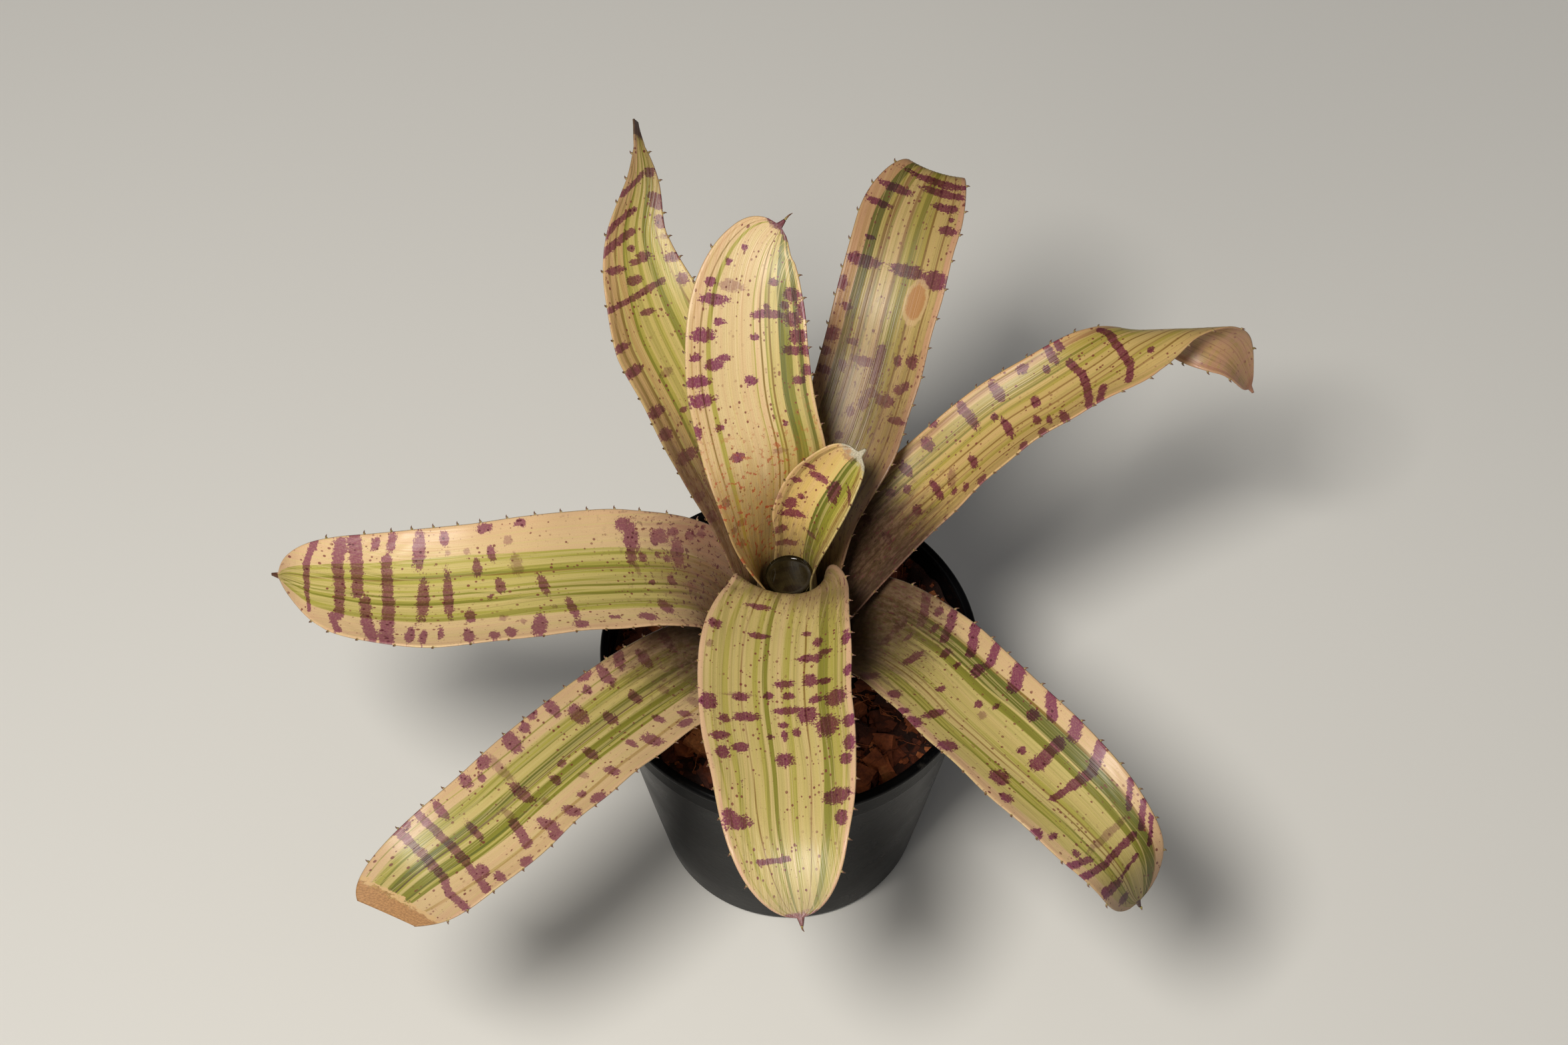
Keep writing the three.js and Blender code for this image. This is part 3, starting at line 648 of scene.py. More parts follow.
# %% The blotches of the front leaf, which lies nearest to the camera
MARKS["leaf_front"] = dict(
    spots=[(75.5, -8.4, 2.8, 8.2), (89, -6.3, 2.8, 6.8), (87, -21, 3.5, 4.5), (116.5, -22, 6, 5.5),
           (122, -17, 3, 3.5), (128, -19, 3, 6), (134.5, -19, 5, 4.5), (132.7, -13.3, 3.5, 5.5),
           (160, -16, 4.2, 8.5), (157.5, -18.5, 3, 4), (114, -11.5, 3, 5), (121.3, -10, 3.3, 8),
           (113.5, -2.6, 3, 3), (129.5, -3.2, 2, 2), (138.5, 0.3, 4.5, 5.8), (109, 2.6, 3, 6.3),
           (114, 3.7, 3, 4.2), (120, 3.5, 3, 9.5), (125.5, 1.6, 2.5, 3), (129.5, 1.3, 4, 2),
           (129, 5.3, 3.5, 2.6), (122.8, 9.5, 6.5, 6.5), (99, 9.5, 3.2, 5.2), (87.5, 9, 3, 2.6),
           (108.5, 11, 5, 4.7), (99.5, 13.2, 4, 3), (92.5, 13.2, 4.5, 3), (97.5, 15.8, 2.5, 5.2),
           (110, 15.8, 2.5, 5.2), (117, 12.6, 3, 4.2), (129, 15.4, 8, 7.2), (118.5, 19.5, 7.5, 7.2),
           (142.5, 20, 3.5, 4.2), (138, 21.8, 5, 4.2), (130, 22.8, 5, 4.2), (153.5, 16, 5, 9),
           (161, 17, 5, 4), (94, 23.2, 6, 3), (108, 24, 5, 3)],
    bars=[(136, -14, 148, -13.5, 0.7), (171.7, -10, 171.9, -1, 1.6)],
    faint=[(95, -22, 2.5, 2.5), (113, -12.5, 1, 15), (121.5, -17, 1, 6)])

# %% The blotches of the leaves at the back and of the heart
MARKS["leaf_back_right"] = dict(
    spots=[(102, -14, 2.5, 7), (91, 4, 3.2, 2.8), (100, 3, 3.5, 3), (104, -0.5, 4.5, 3.5),
           (107, -7.5, 4, 7), (108, -2, 3.5, 4), (111.5, -11.5, 3, 4), (113.5, -13.5, 3, 3),
           (121.5, -13.5, 4.5, 4.5), (120.5, -8, 3.5, 3), (117.5, 4, 3.5, 7.5), (114, 10, 4, 2.8),
           (123, 9, 2, 4), (124, 16.5, 5.5, 5), (117.5, 17, 3, 4), (111, 15.5, 3, 4.5),
           (134, 13.5, 2.5, 4), (141, 17, 5, 3.5), (148.5, -13.5, 6, 11), (150, -3.5, 4.5, 12),
           (150, 12, 4, 12), (158, 12, 1.5, 3.5), (166, -13.5, 3.2, 6.5), (170.5, -13.5, 2, 2),
           (174.5, -10, 3, 9.5), (169.5, 12.5, 2, 10), (176, 9, 3, 11), (179.5, -7, 2.8, 17),
           (183, -3, 2.5, 24)],
    bars=[(112, -1.5, 123, -1.5, 3)], scars=[(140.5, -9, 14, 7.5)])
MARKS["leaf_back_left"] = dict(
    spots=[(70.5, 13.5, 4, 5), (79, 15, 3, 6), (93, 12.5, 4, 10), (103, 16.5, 4.5, 6),
           (111.5, 16, 4, 8), (126.5, 16.5, 3, 9), (134.5, 16.5, 2.5, 7), (107, 5.5, 2, 3),
           (141, 2, 2.2, 5), (152, 3, 3, 6), (148, -13, 4.5, 4), (157, -11.5, 4, 5),
           (159, -2, 3.5, 5), (157.5, 1.5, 2, 4), (162, 2, 2, 3), (156, 9, 2, 8),
           (171, -8.5, 2.8, 4.5), (173, -7.5, 3, 3), (177.5, -6, 3, 5), (180, -4.5, 2.8, 5),
           (187.5, -2.5, 3, 4)],
    bars=[(149.3, -6.5, 146.5, 6, 2), (146.5, 6, 145.3, 17, 1.6), (167.5, 1, 161, 12.5, 2.2),
          (174.5, 1.5, 165, 12, 1.8), (187, 0, 178, 7, 1.5)],
    faint=[(120.5, 5, 3, 5), (166, -10, 3, 4)])
MARKS["leaf_back"] = dict(
    spots=[(118, -0.5, 3.2, 4), (132, -2.5, 2, 3.5), (101.5, -9, 1.8, 1.8), (116.5, -16.5, 3.5, 4.5),
           (127.5, -15, 3.2, 7), (120.5, -19.5, 4, 3.5), (127.5, -19.5, 4, 4), (132.5, -17, 5, 6),
           (138.5, -15, 5, 6), (142.5, -18.5, 7, 5), (140, -8, 3, 9), (143.5, -12, 3, 3),
           (139.5, -3.5, 2.5, 4.5), (142.5, -6, 2, 2), (148, -14, 5, 6), (151.5, -7.5, 2.8, 2.8),
           (94, 9, 3.5, 4.5), (105.5, 12.5, 1.8, 3.5), (114.5, 16.5, 3.5, 9), (119.5, 16.5, 3.2, 8),
           (106, 20, 4.5, 2.5), (124, 11, 3.5, 6), (126, 7.5, 2, 4.5), (126.5, 17, 2, 4),
           (133, 14.5, 4, 8), (137, 9, 2, 4), (143.5, 11, 3.2, 9.5), (148, 13, 2.5, 4),
           (154.5, 8.5, 1.5, 3), (159.5, 5, 1.3, 2.5), (72, 12, 2, 4), (66, 14, 2, 4),
           (71, 16, 2, 3), (80, 16.5, 3, 3)],
    faint=[(93, -5, 2, 5), (148, 6, 3.5, 8.5), (75.5, -4, 2, 3)])
MARKS["leaf_heart"] = dict(
    spots=[(61.5, -0.5, 2, 4.5), (80, -2, 3, 5), (83, -1, 6, 5), (86.5, -9, 2, 9, 0.3),
           (54, 7, 2.5, 7), (54, 10, 2, 4), (60, 11, 3.2, 4.5), (67, 8.5, 3, 9), (71, 10.5, 3.8, 5),
           (74, 8, 1.8, 2.5), (79, 12.5, 1.8, 4.5), (83, 6, 2.5, 8), (85.5, 11, 2, 5)],
    faint=[(73, 15.5, 2, 2), (97, 2, 6, 7)])
print(sum(len(marks["spots"]) + len(marks.get("bars", [])) for marks in MARKS.values()), "blotches by hand")

# %% How far the bands of a leaf wander to its left: (along, mm)
DRIFT = {
    "leaf_left": [(60, 3.4), (104, 2.9), (130, 1.7), (148, 0), (170, 0.4), (185, 1.8), (200, 2.4), (215, 0)],
    "leaf_front_left": [(80, -0.8), (114, 0.2), (143, 0), (167, -1.2), (192, -2)],
    "leaf_front_right": [(85, -1.2), (110, -1.3), (130, -0.6), (150, 0), (170, 0.4)],
}


def band_place(name, sheet, side):
    """Where a point lies among the bands, which draw together as the leaf narrows."""
    along, shift = zip(*DRIFT.get(name, [(0, 0)]))
    drift = np.interp(sheet["at"], along, shift)[:, None]
    half = np.maximum(sheet["half"], 0.3)[:, None]
    return (side - drift) * LEAVES[name]["width"] / 2 / half


# %% Writing the readings on a leaf's mesh
def mark_leaf(mesh, name, sheet):
    columns = len(sheet["across"])
    order = np.concatenate([np.arange(columns), [columns - 1], np.arange(columns)[::-1], [0]])
    under = np.concatenate([np.zeros(columns), [0.5], np.ones(columns), [0.5]])
    side = (sheet["across"][None] * sheet["half"][:, None])[:, order]
    along = np.repeat(sheet["at"][:, None], len(order), 1)
    marks = MARKS[name]
    readings = dict(along=along, aside=side, band=band_place(name, sheet, side),
                    to_edge=sheet["half"][:, None] - np.abs(side), to_tip=sheet["length"] - along,
                    under=np.repeat(under[None], len(sheet["at"]), 0),
                    blotch=mark_depth(along, side, marks["spots"], marks.get("bars", [])),
                    faint=mark_depth(along, side, marks.get("faint", [])),
                    scar=mark_depth(along, side, marks.get("scars", [])))
    for label, values in readings.items():
        write_reading(mesh, label, values)


# %% [markdown]
# ## Hooked spines along both margins
#
# Every margin carries small hooked spines about a centimetre apart. They repeat along a path, which is
# work for Geometry Nodes: the script marks the vertex where each spine stands and the way it points,
# and the tree bends one tapered hook, puts a copy on each marked vertex and turns it.

# %% The direction of every spine
# A leaf may end in a thread, which is one more spine, as many times longer as given here.
TIP_THREADS = {"leaf_front": 1.4, "leaf_back": 2.6, "leaf_front_right": 1.4}


def spine_marks(mesh, name, sheet):
    columns, around = len(sheet["across"]), 2 * len(sheet["across"]) + 2
    foot = np.zeros((len(sheet["at"]), around))
    aim = np.zeros((len(sheet["at"]), around, 3))
    rows = np.searchsorted(sheet["at"], spine_rows(LEAVES[name], sheet["length"]) - 1e-3)
    for column, end, sign in ((columns, -1, 1), (around - 1, 0, -1)):
        foot[rows, column] = 1
        out = sign * sheet["edge"][rows, end]
        aim[rows, column] = SPINE["outwards"] * out + SPINE["forwards"] * sheet["tangent"][rows]
    if name in TIP_THREADS:
        foot[-1, columns // 2] = TIP_THREADS[name]
        aim[-1, columns // 2] = sheet["tangent"][-1]
    write_reading(mesh, "spine_foot", foot)
    mesh.attributes.new("spine_aim", "FLOAT_VECTOR", "POINT").data.foreach_set("vector", np.ravel(aim))
    return 2 * len(rows)


# %% One bent hook: its tip and the knee it bends at, aside and up, in parts of its length
HOOK_TIP, HOOK_KNEE = (0.42, 1.0), (-0.16, 0.6)


def hook_place(tree, length, aside, up):
    node = add(tree, "ShaderNodeCombineXYZ", {0: times(tree, length, aside), 2: times(tree, length, up)})
    return node.outputs[0]


def hook_tube(tree, length, base):
    """One bent hook, thick at its foot and sharp at its tip, that knows how far out each point is."""
    curve = add(tree, "GeometryNodeCurveQuadraticBezier",
                {"Resolution": 4, "Start": (0, 0, 0), "Middle": hook_place(tree, length, *HOOK_KNEE),
                 "End": hook_place(tree, length, *HOOK_TIP)})
    gone = add(tree, "GeometryNodeSplineParameter").outputs["Factor"]
    thin = times(tree, base, calc(tree, "POWER", less(tree, 1.03, gone), 0.85))
    kept = add(tree, "GeometryNodeStoreNamedAttribute",
               {"Geometry": curve.outputs[0], "Name": "out_along", "Value": gone}, data_type="FLOAT")
    ring = add(tree, "GeometryNodeCurvePrimitiveCircle", {"Resolution": 6, "Radius": 1.0})
    tube = add(tree, "GeometryNodeCurveToMesh",
               {"Curve": kept.outputs[0], "Profile Curve": ring.outputs[0], "Scale": thin,
                "Fill Caps": True})
    return tube.outputs[0]


# %% The tree that grows the spines
def spine_tree(leaf_surface, spine_surface):
    tree, given = geometry_tree("marginal_spines", Length="Float", Base="Float")
    foot = add(tree, "GeometryNodeInputNamedAttribute", {"Name": "spine_foot"}, data_type="FLOAT")
    marked = add(tree, "FunctionNodeCompare", {0: foot.outputs[0], 1: 0.5}, data_type="FLOAT")
    feet = add(tree, "GeometryNodeMeshToPoints", {"Mesh": given["Geometry"], "Selection": marked.outputs[0]})
    aim = add(tree, "GeometryNodeInputNamedAttribute", {"Name": "spine_aim"}, data_type="FLOAT_VECTOR")
    turned = add(tree, "FunctionNodeAlignRotationToVector", {"Vector": aim.outputs[0]}, axis="Z")
    size = add(tree, "ShaderNodeCombineXYZ", {0: 1.0, 1: 1.0, 2: foot.outputs[0]})
    spines = add(tree, "GeometryNodeInstanceOnPoints",
                 {"Points": feet.outputs[0], "Instance": hook_tube(tree, given["Length"], given["Base"]),
                  "Rotation": turned.outputs[0], "Scale": size.outputs[0]})
    both = add(tree, "GeometryNodeJoinGeometry")
    tree.links.new(wear(tree, realize(tree, spines.outputs[0]), spine_surface), both.inputs[0])
    tree.links.new(wear(tree, given["Geometry"], leaf_surface), both.inputs[0])
    add(tree, "NodeGroupOutput", {0: both.outputs[0]})
    return tree


# %% [markdown]
# ## What the skin of a leaf looks like
#
# A variegated leaf is cream where it has no chlorophyll and green where it has, in bands that run its
# whole length. Over that lie maroon blotches, which look purple on cream and dark grey-brown on green
# because the red pigment lets the colour under it through, small dots, and a grey mealy scurf near
# the sheath. An image could hold all that, but only for one side of one leaf. A chain of nodes, where
# each layer is mixed over the last, works on both faces and at any distance.

# %% Short names for the shader nodes that the finishes use
def reading(tree, name):
    return add(tree, "ShaderNodeAttribute", attribute_name=name).outputs["Fac"]


def mix_paint(tree, amount, under, over, how="MIX"):
    node = add(tree, "ShaderNodeMix", {0: amount, 6: under, 7: over}, data_type="RGBA", blend_type=how)
    return node.outputs[2]


def step(tree, value, low, high):
    """0 below low, 1 above high, soft between."""
    node = add(tree, "ShaderNodeMapRange", {"Value": value, "From Min": low, "From Max": high},
               interpolation_type="SMOOTHSTEP")
    return node.outputs[0]


def fall(tree, value, low, high):
    """1 below low, 0 above high, soft between."""
    return less(tree, 1.0, step(tree, value, low, high))


def swing(tree, value, amount, middle=0.5):
    """How far a grain is from its middle, times an amount."""
    return times(tree, less(tree, value, middle), amount)


# %% Where a pattern starts from, noise and colour ramps
def object_place(tree):
    return add(tree, "ShaderNodeTexCoord").outputs["Object"]


def grain(tree, place, scale, detail=2.0, rough=0.5):
    node = add(tree, "ShaderNodeTexNoise",
               {"Vector": place, "Scale": scale, "Detail": detail, "Roughness": rough})
    return node.outputs["Fac"]


def ramp(tree, value, stops):
    node = add(tree, "ShaderNodeValToRGB", {0: value})
    band = node.color_ramp
    while len(band.elements) > 1:
        band.elements.remove(band.elements[-1])
    band.elements[0].position, band.elements[0].color = stops[0]
    for position, colour in stops[1:]:
        band.elements.new(position).color = colour
    return node


# %% Grain that follows the veins, and the end of every finish that has a bump
def leaf_place(tree, across_scale, along_scale, seed):
    """A place on the leaf, stretched along its length."""
    node = add(tree, "ShaderNodeCombineXYZ", {0: times(tree, reading(tree, "aside"), across_scale),
                                              1: times(tree, reading(tree, "along"), along_scale),
                                              2: float(seed)})
    return node.outputs[0]


def leaf_grain(tree, across_scale, along_scale, seed, detail=2.0, rough=0.5):
    return grain(tree, leaf_place(tree, across_scale, along_scale, seed), 1.0, detail, rough)


def end_finish(tree, shader, colour, height, strength, distance):
    """Gives the shader its colour, and its bump from a height."""
    tree.links.new(colour, shader.inputs["Base Color"])
    bump = add(tree, "ShaderNodeBump", {"Height": height, "Strength": strength, "Distance": distance})
    tree.links.new(bump.outputs[0], shader.inputs["Normal"])


# %% The paints of the leaves
# The fourth value says how much of the fine green lines a band carries.
CREAM = paint(226, 196, 144, 0.05)
BLUSH = paint(224, 182, 142, 0.0)
WASH = paint(204, 188, 112, 0.6)
BUFF = paint(196, 164, 104, 0.15)
PALE = paint(208, 192, 118, 0.4)
LIME = paint(180, 172, 80, 0.8)
GREEN = paint(142, 140, 52, 1.0)
DEEP = paint(106, 110, 40, 0.9)
OLIVE = paint(144, 118, 52, 0.4)
DARK = paint(92, 78, 38, 0.3)
MAROON_VEIL = (0.34, 0.085, 0.4, 1)
MAROON = paint(100, 38, 58)
SCURF = paint(158, 132, 112)
FINE_GREEN = paint(128, 124, 48)
FINE_CREAM = paint(220, 200, 134)
DOT = paint(122, 48, 50)
PLUM = paint(96, 42, 54)
RUST = paint(178, 72, 42)
UMBER = paint(48, 30, 30)
DRY_CRACK = paint(60, 36, 26)
CUT_RIDGE = paint(214, 178, 126)
# What the ends of some leaves are multiplied with: painted shade, with some dark pigment.
TIP_SHADE_VEIL = (0.3, 0.26, 0.3, 1)
MOTTLE_VEIL = (0.8, 0.74, 0.74, 1)
# The lower face of a leaf, and that of the right leaf, whose twisted end shows it to the camera.
UNDERSIDE, SHOWN_UNDERSIDE = paint(136, 126, 98), paint(190, 148, 132)
# A scar has a pale rim and a brown middle: from, full at, how strong, paint.
SCAR = ((0.3, 0.45, 0.7, paint(222, 196, 140)), (0.55, 0.75, 0.8, paint(188, 136, 74)))
# Some leaves have a cream of their own.
GROUND = {"leaf_right": paint(214, 188, 124, 0.25), "leaf_heart": paint(222, 188, 118, 0.1),
          "leaf_back": paint(228, 204, 152, 0.05), "leaf_back_right": paint(212, 180, 126, 0.1)}
# Between these two places, in mm aside, the skin is washed with pale green instead of cream.
WASHED = {"leaf_left": (-14, 11), "leaf_right": (-16.5, 16), "leaf_front_left": (-12.5, 7.5),
          "leaf_front": (-23.5, 23.5), "leaf_front_right": (-17, 15.8), "leaf_back_right": (-16, 16.5),
          "leaf_back_left": (-19.2, 17), "leaf_back": (-20, -5), "leaf_heart": (-16, 2)}


# %% The bands of each leaf, from its right margin to its left: (from, to, paint) in mm aside
BANDS = {
    "leaf_left": [(-13.8, -13, LIME), (-12.6, -11.2, LIME), (-9, -7.6, LIME), (-7.6, -6.8, GREEN),
                  (-6.7, -6.3, OLIVE), (-6.2, -4.8, LIME), (-2.5, -1.6, LIME), (-0.4, 0.4, GREEN),
                  (0.4, 1.6, PALE), (1.6, 2.6, LIME), (2.9, 3.8, GREEN), (7.6, 8.4, LIME),
                  (8.4, 10.6, LIME)],
    "leaf_right": [(-11.2, -10.4, OLIVE), (-8, -5.6, LIME), (-5.6, -5.2, OLIVE), (-3.5, -2.9, OLIVE),
                   (-2.8, 0.8, PALE), (1, 1.5, OLIVE), (3.5, 5.2, LIME), (6.8, 7.4, GREEN),
                   (7.6, 9, LIME), (9.3, 10, GREEN), (10.2, 13, LIME), (13.5, 15.5, OLIVE)],
    "leaf_front_left": [(-15.4, -15, LIME), (-11.6, -9.3, LIME), (-9.3, -8.5, GREEN),
                        (-5.8, -4.7, GREEN), (-4.7, -3.2, DEEP), (-3.2, -2.4, GREEN),
                        (-2.2, -1.7, DARK), (-1.6, -0.9, LIME), (-0.8, 0.5, PALE), (0.6, 3.4, GREEN),
                        (3.4, 4.2, DEEP), (4.3, 5.3, LIME), (5.3, 6.6, GREEN), (13, 14.3, BUFF)],
    "leaf_front": [(-21.7, -21, LIME), (-17.3, -15.4, LIME), (-11.4, -10.8, OLIVE), (-7.5, -5.8, LIME),
                   (-5.8, -4.4, PALE), (-4.4, -2.8, GREEN), (-2.8, 1.6, PALE), (1.8, 4.2, LIME),
                   (8.8, 9.4, OLIVE), (13.6, 17, GREEN), (17, 18.9, LIME), (18.9, 20.3, LIME),
                   (21.5, 22.3, LIME)],
    "leaf_front_right": [(-11.9, -11.2, GREEN), (-11.2, -9.1, LIME), (-9.1, -8.3, GREEN),
                         (-8.3, -6.5, PALE), (-6.5, -5.9, OLIVE), (-5.9, -4.6, PALE),
                         (-4.6, -4, OLIVE), (-3.9, -2.2, LIME), (2.6, 6.4, PALE), (6.6, 9.2, GREEN),
                         (9.2, 9.9, PALE), (9.9, 14.9, DEEP), (14.9, 15.8, OLIVE)],
    "leaf_back_right": [(-13.3, -12.6, OLIVE), (-7.9, -7.2, OLIVE), (-7, -4.5, LIME), (-4.3, -2.2, GREEN),
                        (-2, 0, LIME), (0.2, 1.2, OLIVE), (1.4, 5.4, PALE), (5.5, 6.5, GREEN),
                        (6.5, 8.4, OLIVE), (8.5, 9.8, LIME), (10, 13.2, DEEP), (13.3, 18, BUFF)],
    "leaf_back_left": [(-13.8, -13, OLIVE), (-12.8, -10.6, LIME), (-9.2, -6.8, LIME), (-6.6, -4.3, GREEN),
                       (-4, -1.4, PALE), (-1.1, 0.8, LIME), (5.8, 7, LIME), (7.3, 8.2, GREEN),
                       (8.3, 11.4, BUFF), (12.2, 13.4, OLIVE), (13.5, 15.8, BUFF), (16, 17.2, OLIVE),
                       (17.3, 19.5, BUFF)],
    "leaf_back": [(-18.6, -16.4, DEEP), (-16.4, -14.6, PALE), (-14.6, -12.4, GREEN),
                  (-12.4, -10.6, DEEP), (-10.4, -8, PALE), (-7.8, -7.2, OLIVE), (-6.6, -6, LIME),
                  (-4.8, -4.2, OLIVE), (-2.4, -2, LIME), (12, 13.6, LIME), (15.4, 16, OLIVE),
                  (18.3, 18.9, BUFF)],
    "leaf_heart": [(-16, -11, PALE), (-11, -8.2, OLIVE), (-8, -5.8, LIME), (-5.7, -2.9, GREEN),
                   (-2.8, 1.6, DEEP), (12.3, 14, OLIVE)],
}


# %% Turning bands into the stops of a colour ramp
def washed(bands, low, high):
    """Fills the gaps between bands with the pale green wash, from one place to another."""
    filled = []
    for start, end, colour in bands:
        if low < start < high and start - low > 0.35:
            filled.append((low, start, WASH))
        filled.append((start, end, colour))
        low = max(low, end)
    return filled + ([(low, high, WASH)] if high - low > 0.35 else [])


def band_stops(bands, ground, half, soft=0.16):
    """Two stops a border, a little apart. Bands that touch share a border; else the ground shows."""
    borders, paint_before, reached = [], ground, -half
    for low, high, colour in bands:
        if low - reached > 0.35:
            borders += [(reached, paint_before, ground), (low, ground, colour)]
        else:
            borders.append(((low + reached) / 2, paint_before, colour))
        paint_before, reached = colour, high
    borders.append((reached, paint_before, ground))
    borders = [border for border in borders if abs(border[0]) < half - 0.05 and border[1] != border[2]]
    stops = [(-half, borders[0][1])]
    for place, before, after in borders:
        stops += [(place - soft, before), (place + soft, after)]
    return stops + [(half, stops[-1][1])]


# %% Two ramps for each leaf, mixed at its midline
def half_ramps(tree, across, stops, half):
    """A ramp holds 32 stops at most, so each side of the midline has its own."""
    right = [(mm, colour) for mm, colour in stops if mm <= 0]
    left = [(mm, colour) for mm, colour in stops if mm > 0]
    right, left = right + [(0, left[0][1])], [(0, right[-1][1])] + left
    ramps = [ramp(tree, plus(tree, across, 1.0), [(1 + mm / half, colour) for mm, colour in right]),
             ramp(tree, across, [(mm / half, colour) for mm, colour in left])]
    which = calc(tree, "GREATER_THAN", across, 0.0)
    colour = mix_paint(tree, which, ramps[0].outputs["Color"], ramps[1].outputs["Color"])
    lined = plus(tree, times(tree, which, ramps[1].outputs["Alpha"]),
                 times(tree, less(tree, 1.0, which), ramps[0].outputs["Alpha"]))
    return colour, lined


# %% Counting the stops of each leaf's two ramps
for name, bands in BANDS.items():
    stops = band_stops(washed(bands, *WASHED[name]), CREAM, LEAVES[name]["width"] / 2)
    print(name, "has", len(bands), "bands and", sum(mm <= 0 for mm, _ in stops) + 1, "+",
          sum(mm > 0 for mm, _ in stops) + 1, "stops")


# %% The dark base of each leaf, partly the brown of its sheath and partly painted shade deep in the rosette: full up to, gone at, how strong, slant, paint
BASE_BROWN_AND_SHADE = {
    "leaf_heart": (54, 70, 0.45, 0, paint(112, 94, 34)),
    "leaf_back": (70, 104, 0.7, 0, paint(178, 140, 58)),
    "leaf_front": (56, 80, 0.7, 0.3, paint(138, 110, 78)),
    "leaf_back_right": (96, 152, 0.55, 0.6, paint(130, 98, 62)),
    "leaf_back_left": (66, 108, 0.85, 0.9, paint(104, 70, 52)),
    "leaf_right": (70, 96, 0.93, -0.2, paint(68, 48, 36)),
    "leaf_left": (60, 92, 0.75, 0, paint(146, 96, 84)),
    "leaf_front_right": (64, 100, 0.92, -0.3, paint(84, 62, 42)),
    "leaf_front_left": (60, 94, 0.9, -0.5, paint(76, 52, 38)),
}
# The strokes on it: how fine across and along, sharp at, how strong, paint. Two leaves have blunt ones.
STROKES = {"leaf_left": (0.55, 0.5, 0.62, 0.88, PLUM), "leaf_back": (0.55, 0.5, 0.62, 0.88, RUST)}
FINE_STROKES = (1.3, 0.3, 0.64, 0.7, PLUM)

# %% The ends of the leaves: how far in they are dry, and the paint of that
DRY = {
    "leaf_front_left": (7.0, paint(196, 148, 98)), "leaf_back_left": (7.0, paint(84, 58, 50)),
    "leaf_right": (6.0, paint(176, 130, 88)), "leaf_heart": (5.0, paint(206, 196, 180)),
    "leaf_front": (4.5, paint(150, 100, 96)), "leaf_back": (4.5, paint(130, 74, 84)),
    "leaf_left": (2.5, paint(96, 60, 44)), "leaf_front_right": (3.0, paint(80, 54, 58)),
    "leaf_back_right": (3.0, paint(110, 80, 64)),
}
# The ends of some leaves are darker: mostly painted shade where a leaf bends down away from the light, partly
# the dark pigment of a tip. How far in, and how much.
TIP_SHADE_AND_PIGMENT = {"leaf_front_left": (46.0, 0.22), "leaf_front_right": (34.0, 0.75), "leaf_back_left": (50.0, 0.6),
        "leaf_right": (66.0, 0.35), "leaf_front": (16.0, 0.4), "leaf_left": (14.0, 0.45),
        "leaf_back_right": (60.0, 0.3)}

# %% The light falls differently on each leaf: what all its colours are multiplied with
TONES = {"leaf_front_left": (0.84, 0.83, 0.82, 1), "leaf_front": (0.86, 0.82, 0.88, 1),
         "leaf_front_right": (0.82, 0.8, 0.78, 1), "leaf_right": (0.86, 0.74, 0.7, 1),
         "leaf_back_right": (0.76, 0.66, 0.66, 1), "leaf_back_left": (0.89, 0.86, 0.78, 1),
         "leaf_back": (0.91, 0.88, 0.84, 1), "leaf_heart": (0.94, 0.95, 0.84, 1),
         "leaf_left": (0.95, 0.94, 0.94, 1)}
# How strongly the blotches cover the skin, which is less on three leaves.
VEIL, VEILS = 0.82, {"leaf_left": 0.74, "leaf_front_left": 0.72, "leaf_back_left": 0.76}


# %% Bands, rosy streaks and fine lines
def banded(tree, name, seed, half):
    sway = swing(tree, leaf_grain(tree, 0.05, 0.03, seed, 1.0), 1.4)
    swayed = calc(tree, "DIVIDE", plus(tree, reading(tree, "band"), sway), half)
    stops = band_stops(washed(BANDS[name], *WASHED[name]), GROUND.get(name, CREAM), half)
    base, lined = half_ramps(tree, swayed, stops, half)
    streaks = step(tree, leaf_grain(tree, 0.45, 0.006, seed + 12, 3.0, 0.6), 0.42, 0.66)
    margin = fall(tree, reading(tree, "to_edge"), 0.0, 7.0)
    rosy = plus(tree, times(tree, streaks, 0.5), times(tree, margin, 0.5))
    base = mix_paint(tree, times(tree, rosy, less(tree, 1.0, lined)), base, BLUSH)
    fine = step(tree, leaf_grain(tree, 0.85, 0.004, seed + 5, 3.0, 0.7), 0.5, 0.6)
    base = mix_paint(tree, times(tree, lined, 0.55, fine), base, FINE_GREEN)
    light = step(tree, leaf_grain(tree, 1.2, 0.005, seed + 9), 0.53, 0.62)
    return mix_paint(tree, times(tree, light, 0.45), base, FINE_CREAM)


# %% Small dots, in patches and round the blotches
def dotted(tree, base, seed):
    cells = add(tree, "ShaderNodeTexVoronoi", {"Vector": leaf_place(tree, 0.7, 0.58, seed + 2), "Scale": 1.0})
    lot = add(tree, "ShaderNodeSeparateColor", {0: cells.outputs["Color"]}).outputs[0]
    size = plus(tree, cells.outputs["Distance"], times(tree, lot, 0.4))
    patches = step(tree, leaf_grain(tree, 0.09, 0.06, seed + 3), 0.38, 0.54)
    around = calc(tree, "MAXIMUM", patches, step(tree, reading(tree, "blotch"), 0.02, 0.2))
    return mix_paint(tree, times(tree, fall(tree, size, 0.27, 0.4), around, 0.85), base, DOT)


